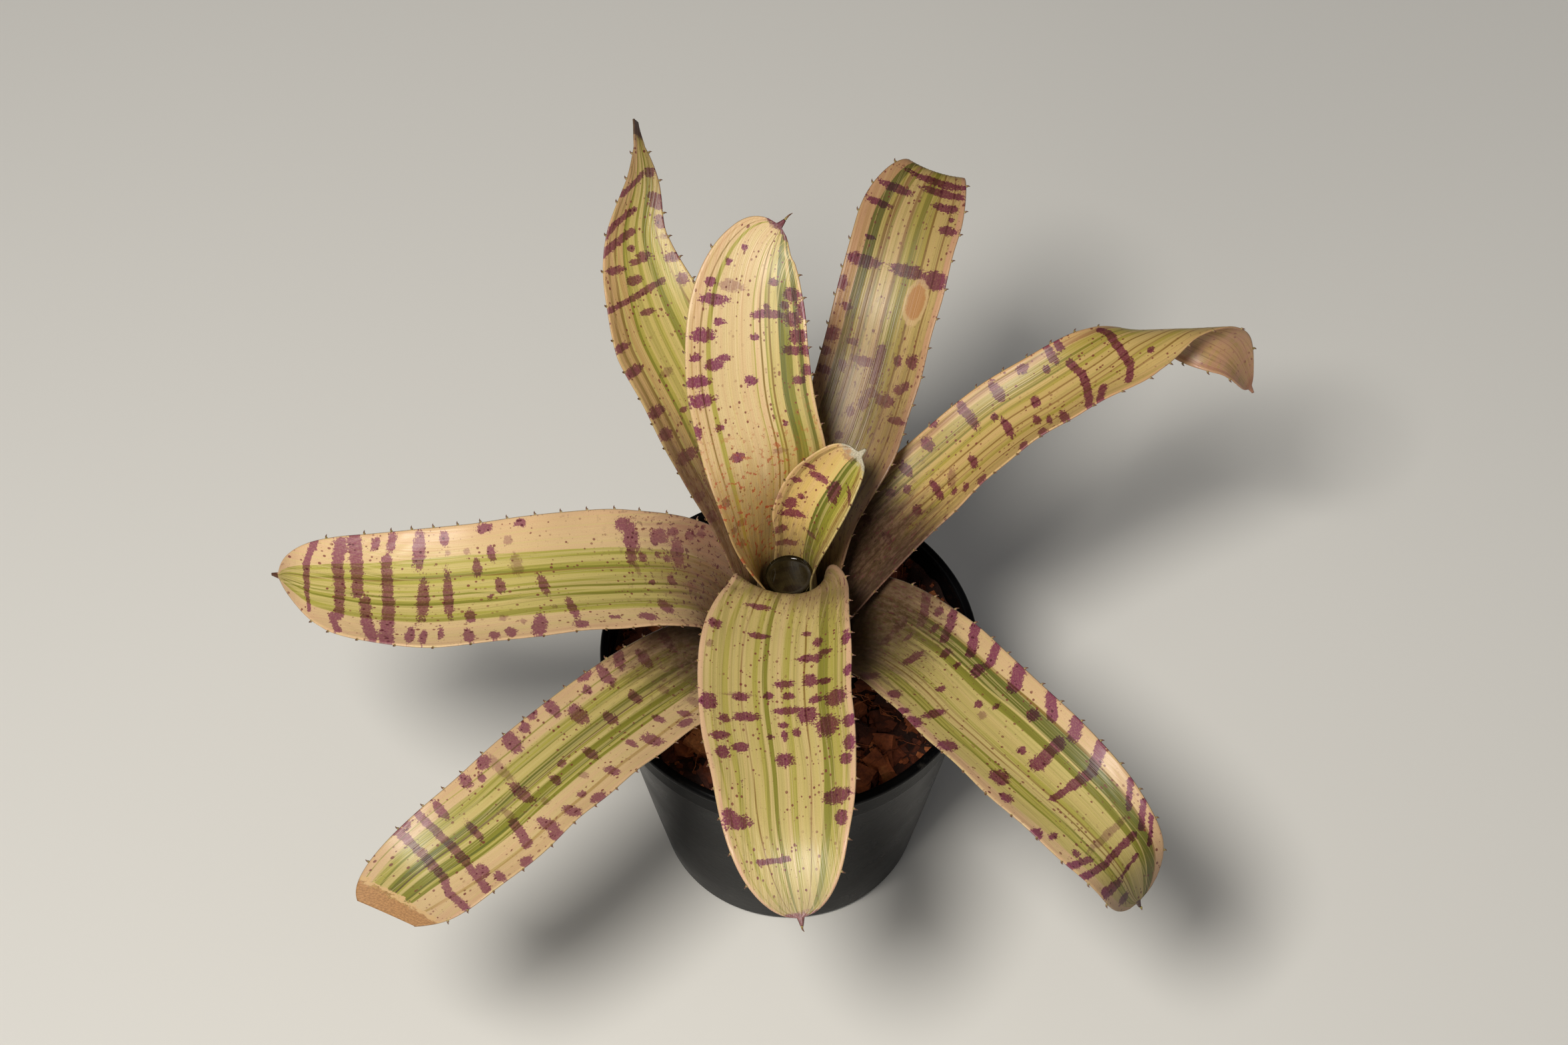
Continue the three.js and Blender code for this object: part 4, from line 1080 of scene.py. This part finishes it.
# %% Maroon blotches with soft, uneven edges
def blotched(tree, base, name, seed):
    coarse = leaf_grain(tree, 0.42, 0.6, seed, 3.0, 0.65)
    cut = leaf_grain(tree, 1.3, 1.6, seed + 6, 2.0, 0.6)
    fray = plus(tree, swing(tree, coarse, 1.3), swing(tree, cut, 1.4))
    deep = step(tree, plus(tree, reading(tree, "blotch"), fray), 0.3, 0.56)
    pale = step(tree, plus(tree, reading(tree, "faint"), fray), 0.26, 0.7)
    veil = calc(tree, "MAXIMUM", deep, times(tree, pale, 0.55))
    mottle = step(tree, leaf_grain(tree, 2.2, 1.4, seed + 4), 0.3, 0.6)
    veil = times(tree, veil, plus(tree, times(tree, mottle, 0.16), VEILS.get(name, VEIL)))
    stained = mix_paint(tree, 0.15, mix_paint(tree, 1.0, base, MAROON_VEIL, "MULTIPLY"), MAROON)
    return mix_paint(tree, veil, base, stained)


# %% A dark base, partly the brown of the sheath and partly painted shade, with streaks and strokes, and mealy scurf on it
def darkened(tree, base, name, seed):
    full, gone, strong, slant, dark = BASE_BROWN_AND_SHADE[name]
    streak = leaf_grain(tree, 0.5, 0.05, seed + 1, 4.0, 0.65)
    reach = plus(tree, reading(tree, "along"), swing(tree, streak, 36.0))
    reach = less(tree, reach, times(tree, reading(tree, "aside"), slant))
    near = fall(tree, reach, full, gone)
    tone = mix_paint(tree, step(tree, streak, 0.35, 0.65), dark, mix_paint(tree, 0.45, dark, UMBER))
    # The base paint is painted shade deep in the rosette, over the sheath's own brown.
    base = mix_paint(tree, times(tree, near, strong), base, tone)
    across_scale, along_scale, sharp, strength, stroke = STROKES.get(name, FINE_STROKES)
    strokes = step(tree, leaf_grain(tree, across_scale, along_scale, seed + 13, 3.0, 0.6), 0.57, sharp)
    zone = fall(tree, reach, full + 4, gone + 16)
    base = mix_paint(tree, times(tree, strokes, zone, strength), base, stroke)
    mealy = step(tree, leaf_grain(tree, 0.7, 0.3, seed + 7, 4.0, 0.7), 0.42, 0.66)
    return mix_paint(tree, times(tree, near, mealy, 0.3), base, SCURF)


# %% A dry tip, a darker end that is mostly painted shade, a scar and the duller lower face
def weathered_and_tip_shaded(tree, base, name, seed):
    rough = leaf_grain(tree, 0.42, 0.6, seed, 3.0, 0.65)
    edge = plus(tree, reading(tree, "to_tip"), swing(tree, rough, 6.0))
    # Painted shade towards the ends of some leaves, partly their own dark pigment.
    if name in TIP_SHADE_AND_PIGMENT:
        reach, amount = TIP_SHADE_AND_PIGMENT[name]
        tip_shade = fall(tree, edge, reach * 0.1, reach)
        base = mix_paint(tree, times(tree, tip_shade, amount), base, TIP_SHADE_VEIL, "MULTIPLY")
    far, dry_paint = DRY[name]
    crackle = step(tree, leaf_grain(tree, 1.3, 1.6, seed + 6, 2.0, 0.6), 0.3, 0.7)
    shades = mix_paint(tree, crackle, mix_paint(tree, 0.4, dry_paint, DRY_CRACK), dry_paint)
    base = mix_paint(tree, fall(tree, edge, far * 0.75, far * 1.1), base, shades)
    if name == "leaf_front_left":
        from_ridge = calc(tree, "ABSOLUTE", less(tree, edge, far))
        base = mix_paint(tree, fall(tree, from_ridge, 0.3, 0.9), base, CUT_RIDGE)
    scar = plus(tree, reading(tree, "scar"), swing(tree, rough, 0.4))
    for low, high, strength, colour in SCAR:
        base = mix_paint(tree, times(tree, step(tree, scar, low, high), strength), base, colour)
    scales = step(tree, leaf_grain(tree, 0.12, 0.5, seed + 8, 3.0), 0.4, 0.62)
    dull = times(tree, reading(tree, "under"), plus(tree, times(tree, scales, 0.3), 0.35))
    return mix_paint(tree, dull, base, SHOWN_UNDERSIDE if name == "leaf_right" else UNDERSIDE)


# %% One leaf's finish: every layer over the last, and veins as bump
def leaf_finish(name, seed, half):
    surface, tree, shader = new_finish("skin_of_" + name, Roughness=0.4, Specular_IOR_Level=0.45)
    base = dotted(tree, banded(tree, name, seed, half), seed)
    for layer in (blotched, darkened, weathered_and_tip_shaded):
        base = layer(tree, base, name, seed)
    base = mix_paint(tree, 1.0, base, TONES[name], "MULTIPLY")
    mottled = step(tree, leaf_grain(tree, 3.2, 2.6, seed + 14), 0.45, 0.7)
    base = mix_paint(tree, times(tree, mottled, 0.35), base, MOTTLE_VEIL, "MULTIPLY")
    end_finish(tree, shader, base, leaf_grain(tree, 2.4, 0.01, seed + 11), 0.35, 0.0003)
    return surface


# %% The horn of the spines: leaf green at the foot, then dark, with a pale point
def spine_finish():
    surface, tree, shader = new_finish("spine_horn", Roughness=0.45)
    colour = ramp(tree, reading(tree, "out_along"),
                  [(0.0, paint(158, 146, 84)), (0.35, paint(122, 86, 62)), (0.75, paint(84, 54, 44)),
                   (1.0, paint(176, 140, 104))])
    tree.links.new(colour.outputs["Color"], shader.inputs["Base Color"])
    return surface


horn = spine_finish()


# %% Growing the nine leaves: a spine's length and the radius of its foot are in metres
SPINE_LENGTH, SPINE_BASE = 0.0013, 0.00045
for seed, (name, leaf) in enumerate(LEAVES.items()):
    sheet = leaf_sheet(leaf)
    loops = leaf_loops(sheet, seed)
    blade = make_piece(name.replace("leaf", "blade"), loops.reshape(-1, 3),
                       loop_faces(loops.shape[0], loops.shape[1]))
    mark_leaf(blade.data, name, sheet)
    count = spine_marks(blade.data, name, sheet)
    growing = spine_tree(leaf_finish(name, seed, leaf["width"] / 2), horn)
    run_tree(blade, growing, Length=SPINE_LENGTH, Base=SPINE_BASE)
    dress(blade, name)
    print("  with", count, "spines")

# %% [markdown]
# ## The pot is turned
#
# A nursery pot is a shell of revolution: a tapered wall, a short collar, a lip that is turned out, and
# a flat floor with a ring of drain holes. Its section is drawn once, with each corner rounded, and a
# geometry tree turns it: a grid takes every row from the section and every column from an angle. A
# second tree drills the floor. Spinning by hand would need both again at every change of size.

# %% Rounding the corners of a drawn section
def rounded(section, steps=4):
    """Each corner is (radius, height, rounding). A rounded corner becomes a short curve."""
    smooth = []
    for i, (radius, height, rounding) in enumerate(section):
        corner = np.array([radius, height])
        if rounding == 0 or i in (0, len(section) - 1):
            smooth.append(corner)
            continue
        before, after = np.array(section[i - 1][:2]), np.array(section[i + 1][:2])
        start = corner + rounding * (before - corner) / np.linalg.norm(before - corner)
        end = corner + rounding * (after - corner) / np.linalg.norm(after - corner)
        for t in np.linspace(0, 1, steps + 1):
            smooth.append((1 - t) ** 2 * start + 2 * t * (1 - t) * corner + t**2 * end)
    return [(radius, 0, height) for radius, height in smooth]


# %% The tree that turns a section round the axis
def turning_tree():
    tree, given = geometry_tree("turn_on_axis", Corners="Int", Steps="Int", Finish="Material")
    columns = plus(tree, given["Steps"], 1.0)
    grid = add(tree, "GeometryNodeMeshGrid", {"Vertices X": columns, "Vertices Y": given["Corners"]})
    index = add(tree, "GeometryNodeInputIndex").outputs[0]
    corner = calc(tree, "MODULO", index, given["Corners"])
    column = calc(tree, "FLOOR", calc(tree, "DIVIDE", index, given["Corners"]))
    drawn = add(tree, "GeometryNodeSampleIndex",
                {"Geometry": given["Geometry"], "Value": add(tree, "GeometryNodeInputPosition").outputs[0],
                 "Index": corner}, data_type="FLOAT_VECTOR")
    angle = calc(tree, "DIVIDE", times(tree, column, 2 * math.pi), given["Steps"])
    turned = add(tree, "ShaderNodeVectorRotate", {"Vector": drawn.outputs[0], "Angle": angle},
                 rotation_type="Z_AXIS")
    shell = add(tree, "GeometryNodeSetPosition", {"Geometry": grid.outputs[0], "Position": turned.outputs[0]})
    closed = add(tree, "GeometryNodeMergeByDistance", {"Geometry": shell.outputs[0], "Distance": 1e-5})
    end_tree(tree, closed.outputs[0], given["Finish"])
    return tree


turning = turning_tree()


# %% A piece turned from a section. An edge that bends more than this stays crisp
CRISP = math.radians(40)


def turn(name, section, steps, surface):
    """A closed piece turned from a section, with its faces outwards and its edges kept crisp."""
    piece = make_piece(name, section, [])
    run_tree(piece, turning, Corners=len(section), Steps=steps, Finish=surface)
    face_outwards(piece.data)
    piece.data.polygons.foreach_set("use_smooth", [True] * len(piece.data.polygons))
    piece.data.set_sharp_from_angle(angle=CRISP)
    return piece


# %% Turning faces outwards and measuring what they hold
def volume(mesh):
    mesh.calc_loop_triangles()
    points = np.empty(3 * len(mesh.vertices))
    mesh.vertices.foreach_get("co", points)
    corners = np.empty(3 * len(mesh.loop_triangles), int)
    mesh.loop_triangles.foreach_get("vertices", corners)
    a, b, c = points.reshape(-1, 3)[corners].reshape(-1, 3, 3).transpose(1, 0, 2)
    return float(np.einsum("ij,ij->i", a, np.cross(b, c)).sum() / 6)


def face_outwards(mesh):
    """A closed mesh whose faces point inwards has a volume below zero, and is flipped."""
    if volume(mesh) < 0:
        mesh.flip_normals()
    print(mesh.name, "holds", round(volume(mesh) * 1e6, 1), "ml")


# %% The section of the pot
POT_WALL, POT_FLOOR = 1.6, 2.0
BASE_RADIUS, COLLAR_RADIUS, RIM_RADIUS = 46.0, 63.0, 65.0
COLLAR_FOOT = 95.0


def body_radius(height):
    return lerp(BASE_RADIUS, COLLAR_RADIUS - 1.4, height / COLLAR_FOOT)


pot_section = rounded([
    (0, 0, 0), (44.8, 0, 0.8), (BASE_RADIUS, 1.5, 0.9), (body_radius(30), 30, 0), (body_radius(62), 62, 0),
    (body_radius(COLLAR_FOOT), COLLAR_FOOT, 0.8), (COLLAR_RADIUS, 96.4, 0.9), (COLLAR_RADIUS, 106.4, 0.5),
    (64.1, 106.4, 0.5), (RIM_RADIUS, 107.3, 0.6), (RIM_RADIUS, 109.1, 0.8), (64.1, POT_HEIGHT, 0.8),
    (62.5, POT_HEIGHT, 0.6), (61.6, 109.1, 0.7), (61.4, 96.4, 0.9),
    (body_radius(COLLAR_FOOT) - POT_WALL, 94, 0.9), (body_radius(62) - POT_WALL, 62, 0),
    (body_radius(2) - POT_WALL, 3.5, 1.2), (43, POT_FLOOR, 1.0), (0, POT_FLOOR, 0)])
print("the section of the pot has", len(pot_section), "points")


# %% Black moulded plastic
def pot_finish():
    """Satin black, with fine moulding texture, dust in broad clouds and pale water marks."""
    surface, tree, shader = new_finish("pot_plastic_black", Specular_IOR_Level=0.05)
    here = object_place(tree)
    dust = grain(tree, here, 38.0, 4.0, 0.6)
    fine = grain(tree, here, 420.0, 3.0, 0.6)
    colour = mix_paint(tree, times(tree, step(tree, dust, 0.5, 0.8), 0.25), paint(7, 7, 8), paint(34, 32, 30))
    height = add(tree, "ShaderNodeSeparateXYZ", {0: here}).outputs["Z"]
    marks = times(tree, step(tree, grain(tree, here, 90.0, 5.0, 0.7), 0.55, 0.75),
                  step(tree, height, 0.085, 0.105), 0.25)
    colour = mix_paint(tree, marks, colour, paint(96, 90, 82))
    tree.links.new(plus(tree, times(tree, dust, 0.25), 0.16), shader.inputs["Roughness"])
    end_finish(tree, shader, colour, fine, 0.12, 0.0004)
    return surface


# %% Drilling the drain holes: how many, and their ring, radius and the drill's depth in metres
DRAINS, DRAIN_RING, DRAIN_RADIUS, DRILL = 8, 0.032, 0.0045, 0.012


def drain_tree():
    tree, given = geometry_tree("drain_holes", Count="Int", Ring="Float", Radius="Float", Finish="Material")
    ring = add(tree, "GeometryNodeMeshCircle", {"Vertices": given["Count"], "Radius": given["Ring"]})
    drill = add(tree, "GeometryNodeMeshCylinder", {"Vertices": 28, "Radius": given["Radius"], "Depth": DRILL})
    drills = add(tree, "GeometryNodeInstanceOnPoints",
                 {"Points": ring.outputs[0], "Instance": drill.outputs[0]})
    holed = add(tree, "GeometryNodeMeshBoolean", {0: given["Geometry"], 1: realize(tree, drills.outputs[0])},
                operation="DIFFERENCE", solver="EXACT")
    end_tree(tree, holed.outputs[0], given["Finish"])
    return tree


black_plastic = pot_finish()
pot = turn("pot_shell", pot_section, 144, black_plastic)
run_tree(pot, drain_tree(), Count=DRAINS, Ring=DRAIN_RING, Radius=DRAIN_RADIUS, Finish=black_plastic)
pot.data.set_sharp_from_angle(angle=CRISP)
dress(pot, "pot")

# %% [markdown]
# ## Husk mix: a bed, chips, crumbs and fibres
#
# The mix is damp coconut husk: red-brown lumps and chips, crumbs between them, and loose fibres over
# it all. A heightmap on one surface would look like mud, so the bed is only the ground. Its top is
# pushed up and down by the same waves as the solid's, with finer lumps, and a tree scatters the
# rest on it from fixed seeds. Noise moves the points after the copies are made real, so no two chips
# are alike.

# %% The bed of the mix
MIX_TOP = 99.0
MIX_RIM = 61.1
SOCKET_RADIUS = 24.6


def relief(x, y):
    return 1.5 * (np.sin(0.31 * x + 1.3) * np.cos(0.27 * y) + 0.6 * np.sin(0.53 * y - 0.41 * x))


def make_bed(surface):
    rings = [(radius, 0, MIX_TOP) for radius in np.linspace(MIX_RIM, SOCKET_RADIUS, 46)]
    section = [(0, 0, 2.5), (43.6, 0, 2.5), (58.9, 0, 93), (60.9, 0, 97.0), *rings,
               (SOCKET_RADIUS, 0, 95), (SOCKET_RADIUS, 0, 80), (9.6, 0, 70), (9.6, 0, 66), (0, 0, 66)]
    bed = turn("husk_bed", section, 190, surface)
    for vertex in bed.data.vertices:
        x, y, z = vertex.co / MM
        if z > MIX_TOP - 0.3:
            lumps = 1.3 * noise.noise((x / 7, y / 7, 3)) + 0.6 * noise.noise((x / 2.4, y / 2.4, 9))
            vertex.co.z += (float(relief(x, y)) + lumps) * MM
    return bed


# %% Husk: dark and damp in the hollows, red-brown to orange on the chips
HUSK_STOPS = [(0.0, paint(38, 19, 13)), (0.25, paint(72, 35, 23)), (0.5, paint(114, 57, 34)),
              (0.75, paint(160, 88, 50)), (1.0, paint(204, 132, 80))]


def husk_finish():
    surface, tree, shader = new_finish("damp_husk", Roughness=0.82, Specular_IOR_Level=0.3)
    here = object_place(tree)
    clouds, fine = grain(tree, here, 160.0, 4.0, 0.62), grain(tree, here, 900.0, 3.0, 0.6)
    tone = plus(tree, reading(tree, "tint"), swing(tree, clouds, 0.9, 0.45))
    colour = ramp(tree, tone, HUSK_STOPS).outputs["Color"]
    colour = mix_paint(tree, times(tree, step(tree, fine, 0.35, 0.7), 0.35), colour, paint(40, 18, 12))
    end_finish(tree, shader, colour, fine, 0.7, 0.0006)
    return surface


# %% Where litter may lie: on top of the bed, above this height in metres, clear of the wall
LITTER_FROM = 0.0955


def litter_points(tree, bed, density, seed, inner, outer):
    position = add(tree, "GeometryNodeInputPosition").outputs[0]
    x, y, z = add(tree, "ShaderNodeSeparateXYZ", {0: position}).outputs
    away = calc(tree, "SQRT", plus(tree, times(tree, x, x), times(tree, y, y)))
    level = times(tree, calc(tree, "GREATER_THAN", away, inner), calc(tree, "LESS_THAN", away, outer),
                  calc(tree, "GREATER_THAN", z, LITTER_FROM))
    return add(tree, "GeometryNodeDistributePointsOnFaces",
               {"Mesh": bed, "Selection": level, "Density": density, "Seed": seed}).outputs["Points"]


def chance(tree, low, high, seed, kind="FLOAT"):
    node = add(tree, "FunctionNodeRandomValue", data_type=kind)
    entries = [socket for socket in node.inputs if socket.enabled]
    entries[0].default_value, entries[1].default_value = low, high
    node.inputs["Seed"].default_value = seed
    return next(socket for socket in node.outputs if socket.enabled)


# %% Copies of one shape with a random size, turn and tint
def scatter(tree, points, shape, sizes, tilt, seed):
    turned = add(tree, "FunctionNodeEulerToRotation",
                 {0: chance(tree, (-tilt, -tilt, 0), (tilt, tilt, 6.28), seed, "FLOAT_VECTOR")})
    copies = add(tree, "GeometryNodeInstanceOnPoints",
                 {"Points": points, "Instance": shape, "Rotation": turned.outputs[0],
                  "Scale": chance(tree, *sizes, seed + 1, "FLOAT_VECTOR")})
    kept = add(tree, "GeometryNodeStoreNamedAttribute",
               {"Geometry": copies.outputs[0], "Name": "tint", "Value": chance(tree, 0.15, 0.8, seed + 2)},
               data_type="FLOAT", domain="INSTANCE")
    return realize(tree, kept.outputs[0])


def moved(tree, geometry, offset):
    return add(tree, "GeometryNodeSetPosition", {"Geometry": geometry, "Offset": offset}).outputs[0]


def shake(tree, geometry, scale, amount):
    """Moves every point by noise, so that copies differ."""
    position = add(tree, "GeometryNodeInputPosition").outputs[0]
    where = add(tree, "ShaderNodeTexNoise", {"Vector": position, "Scale": scale, "Detail": 2.0})
    centred = add(tree, "ShaderNodeVectorMath", {0: where.outputs["Color"], 1: (0.5, 0.5, 0.5)},
                  operation="SUBTRACT")
    offset = add(tree, "ShaderNodeVectorMath", {0: centred.outputs[0], "Scale": amount}, operation="SCALE")
    return moved(tree, geometry, offset.outputs[0])


# %% Thin wires for the fibres
def wires(tree, lines, radius):
    ring = add(tree, "GeometryNodeCurvePrimitiveCircle", {"Resolution": 4, "Radius": radius})
    return add(tree, "GeometryNodeCurveToMesh",
               {"Curve": lines, "Profile Curve": ring.outputs[0], "Fill Caps": True}).outputs[0]


# %% The tree that lays chips, crumbs and fibres on the bed
# Each kind: the seed of its places (None is the tree's own), the ring it lies in in metres, its smallest
# and largest size as multiples of its shape, how far it tilts, and the seed of size, turn and tint.
LITTER = {"Chips": (None, (0.028, 0.0535), ((7, 3.5, 2.2), (15, 8, 5)), 0.42, 11),
          "Crumbs": (7, (0.0245, 0.0595), ((1, 0.8, 0.7), (3.6, 2.4, 1.8)), 0.9, 21),
          "Fibres": (5, (0.026, 0.053), ((0.006, 1, 1), (0.02, 1, 1)), 0.25, 31)}
ONE_MM = (MM, MM, MM)


def litter_tree():
    tree, given = geometry_tree("husk_litter", Chips="Float", Crumbs="Float", Fibres="Float",
                                Seed="Int", Finish="Material")
    bed = given["Geometry"]
    block = add(tree, "GeometryNodeMeshCube",
                {"Size": ONE_MM, "Vertices X": 5, "Vertices Y": 3, "Vertices Z": 3})
    crumb = add(tree, "GeometryNodeMeshCube", {"Size": ONE_MM})
    line = add(tree, "GeometryNodeCurvePrimitiveLine", {"Start": (-0.5, 0, 0), "End": (0.5, 0, 0)})
    strand = add(tree, "GeometryNodeResampleCurve", {"Curve": line.outputs[0], "Count": 8})
    laid = []
    for (kind, (seed, ring, sizes, tilt, lot)), shape in zip(LITTER.items(), (block, crumb, strand)):
        points = litter_points(tree, bed, given[kind], given["Seed"] if seed is None else seed, *ring)
        laid.append(scatter(tree, points, shape.outputs[0], sizes, tilt, lot))
    chips, crumbs, strands = laid
    fibres = wires(tree, moved(tree, shake(tree, strands, 110.0, 0.009), (0, 0, 0.0024)), 0.00013)
    all_of_it = add(tree, "GeometryNodeJoinGeometry")
    for part in (bed, shake(tree, chips, 260.0, 0.004), shake(tree, crumbs, 700.0, 0.0012), fibres):
        tree.links.new(part, all_of_it.inputs[0])
    end_tree(tree, all_of_it.outputs[0], given["Finish"])
    return tree


damp_husk = husk_finish()
husk = run_tree(make_bed(damp_husk), litter_tree(), Chips=19000.0, Crumbs=130000.0, Fibres=24000.0, Seed=4,
                Finish=damp_husk)
husk.data.set_sharp_from_angle(angle=math.radians(50))
dress(husk, "husk_mix")

# %% [markdown]
# ## Water in the tank
#
# The cup of the innermost sheath holds rain water. Seen from above it is a dark olive disc, flat in
# the middle and drawn up at the wall by surface tension. That raised edge, the meniscus, catches the
# light and is what makes it read as water, so it is drawn in the section. Clear glass over a dark cup
# would show nothing more, and would cost many light bounces.

# %% The water and its meniscus
def water_finish():
    surface, tree, shader = new_finish("still_water", Roughness=0.03, IOR=1.333, Specular_IOR_Level=0.6)
    murk = grain(tree, object_place(tree), 260.0, 3.0, 0.6)
    colour = mix_paint(tree, step(tree, murk, 0.35, 0.7), paint(26, 20, 8), paint(38, 31, 15))
    tree.links.new(colour, shader.inputs["Base Color"])
    return surface


# %% The cup stands this many millimetres off the axis, in this direction
CUP_SHIFT, CUP_AZIMUTH = 0.4, math.radians(235)


def fill_tank():
    section = rounded([(0, 116, 0), (5.6, 116, 0.8), (7.0, 148, 0), (7.5, 152, 0), (7.95, 154.8, 0.1),
                       (7.5, 153.95, 0.4), (6.3, 153.65, 0.5), (3, 153.6, 0), (0, 153.6, 0)])
    water = turn("cup_water", section, 96, water_finish())
    towards = Vector((math.cos(CUP_AZIMUTH), math.sin(CUP_AZIMUTH), 0))
    for vertex in water.data.vertices:
        vertex.co += towards * CUP_SHIFT * MM
    dress(water, "tank_water")


fill_tank()


# %% [markdown]
# ## The stem stays as it is
#
# The stem is a squat cone that the leaf bases hide, and its solid already has the right shape. It
# keeps that shape and only gets a finish: dull brown fibre with the rings of old leaf scars.

# %% Stem fibre
def stem_finish():
    surface, tree, shader = new_finish("stem_fibre", Roughness=0.85)
    here = object_place(tree)
    rings = add(tree, "ShaderNodeTexWave", {"Vector": here, "Scale": 260.0, "Distortion": 3.0, "Detail": 2.0},
                bands_direction="Z").outputs["Fac"]
    fibre = grain(tree, here, 420.0, 4.0, 0.65)
    colour = mix_paint(tree, rings, paint(124, 98, 60), paint(84, 60, 36))
    colour = mix_paint(tree, times(tree, fibre, 0.5), colour, paint(56, 38, 24))
    end_finish(tree, shader, colour, rings, 0.5, 0.0006)
    return surface


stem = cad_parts["stem"]
for held in stem.material_slots:
    held.material = stem_finish()
print("the stem keeps its solid and has", len(stem.material_slots), "finish")
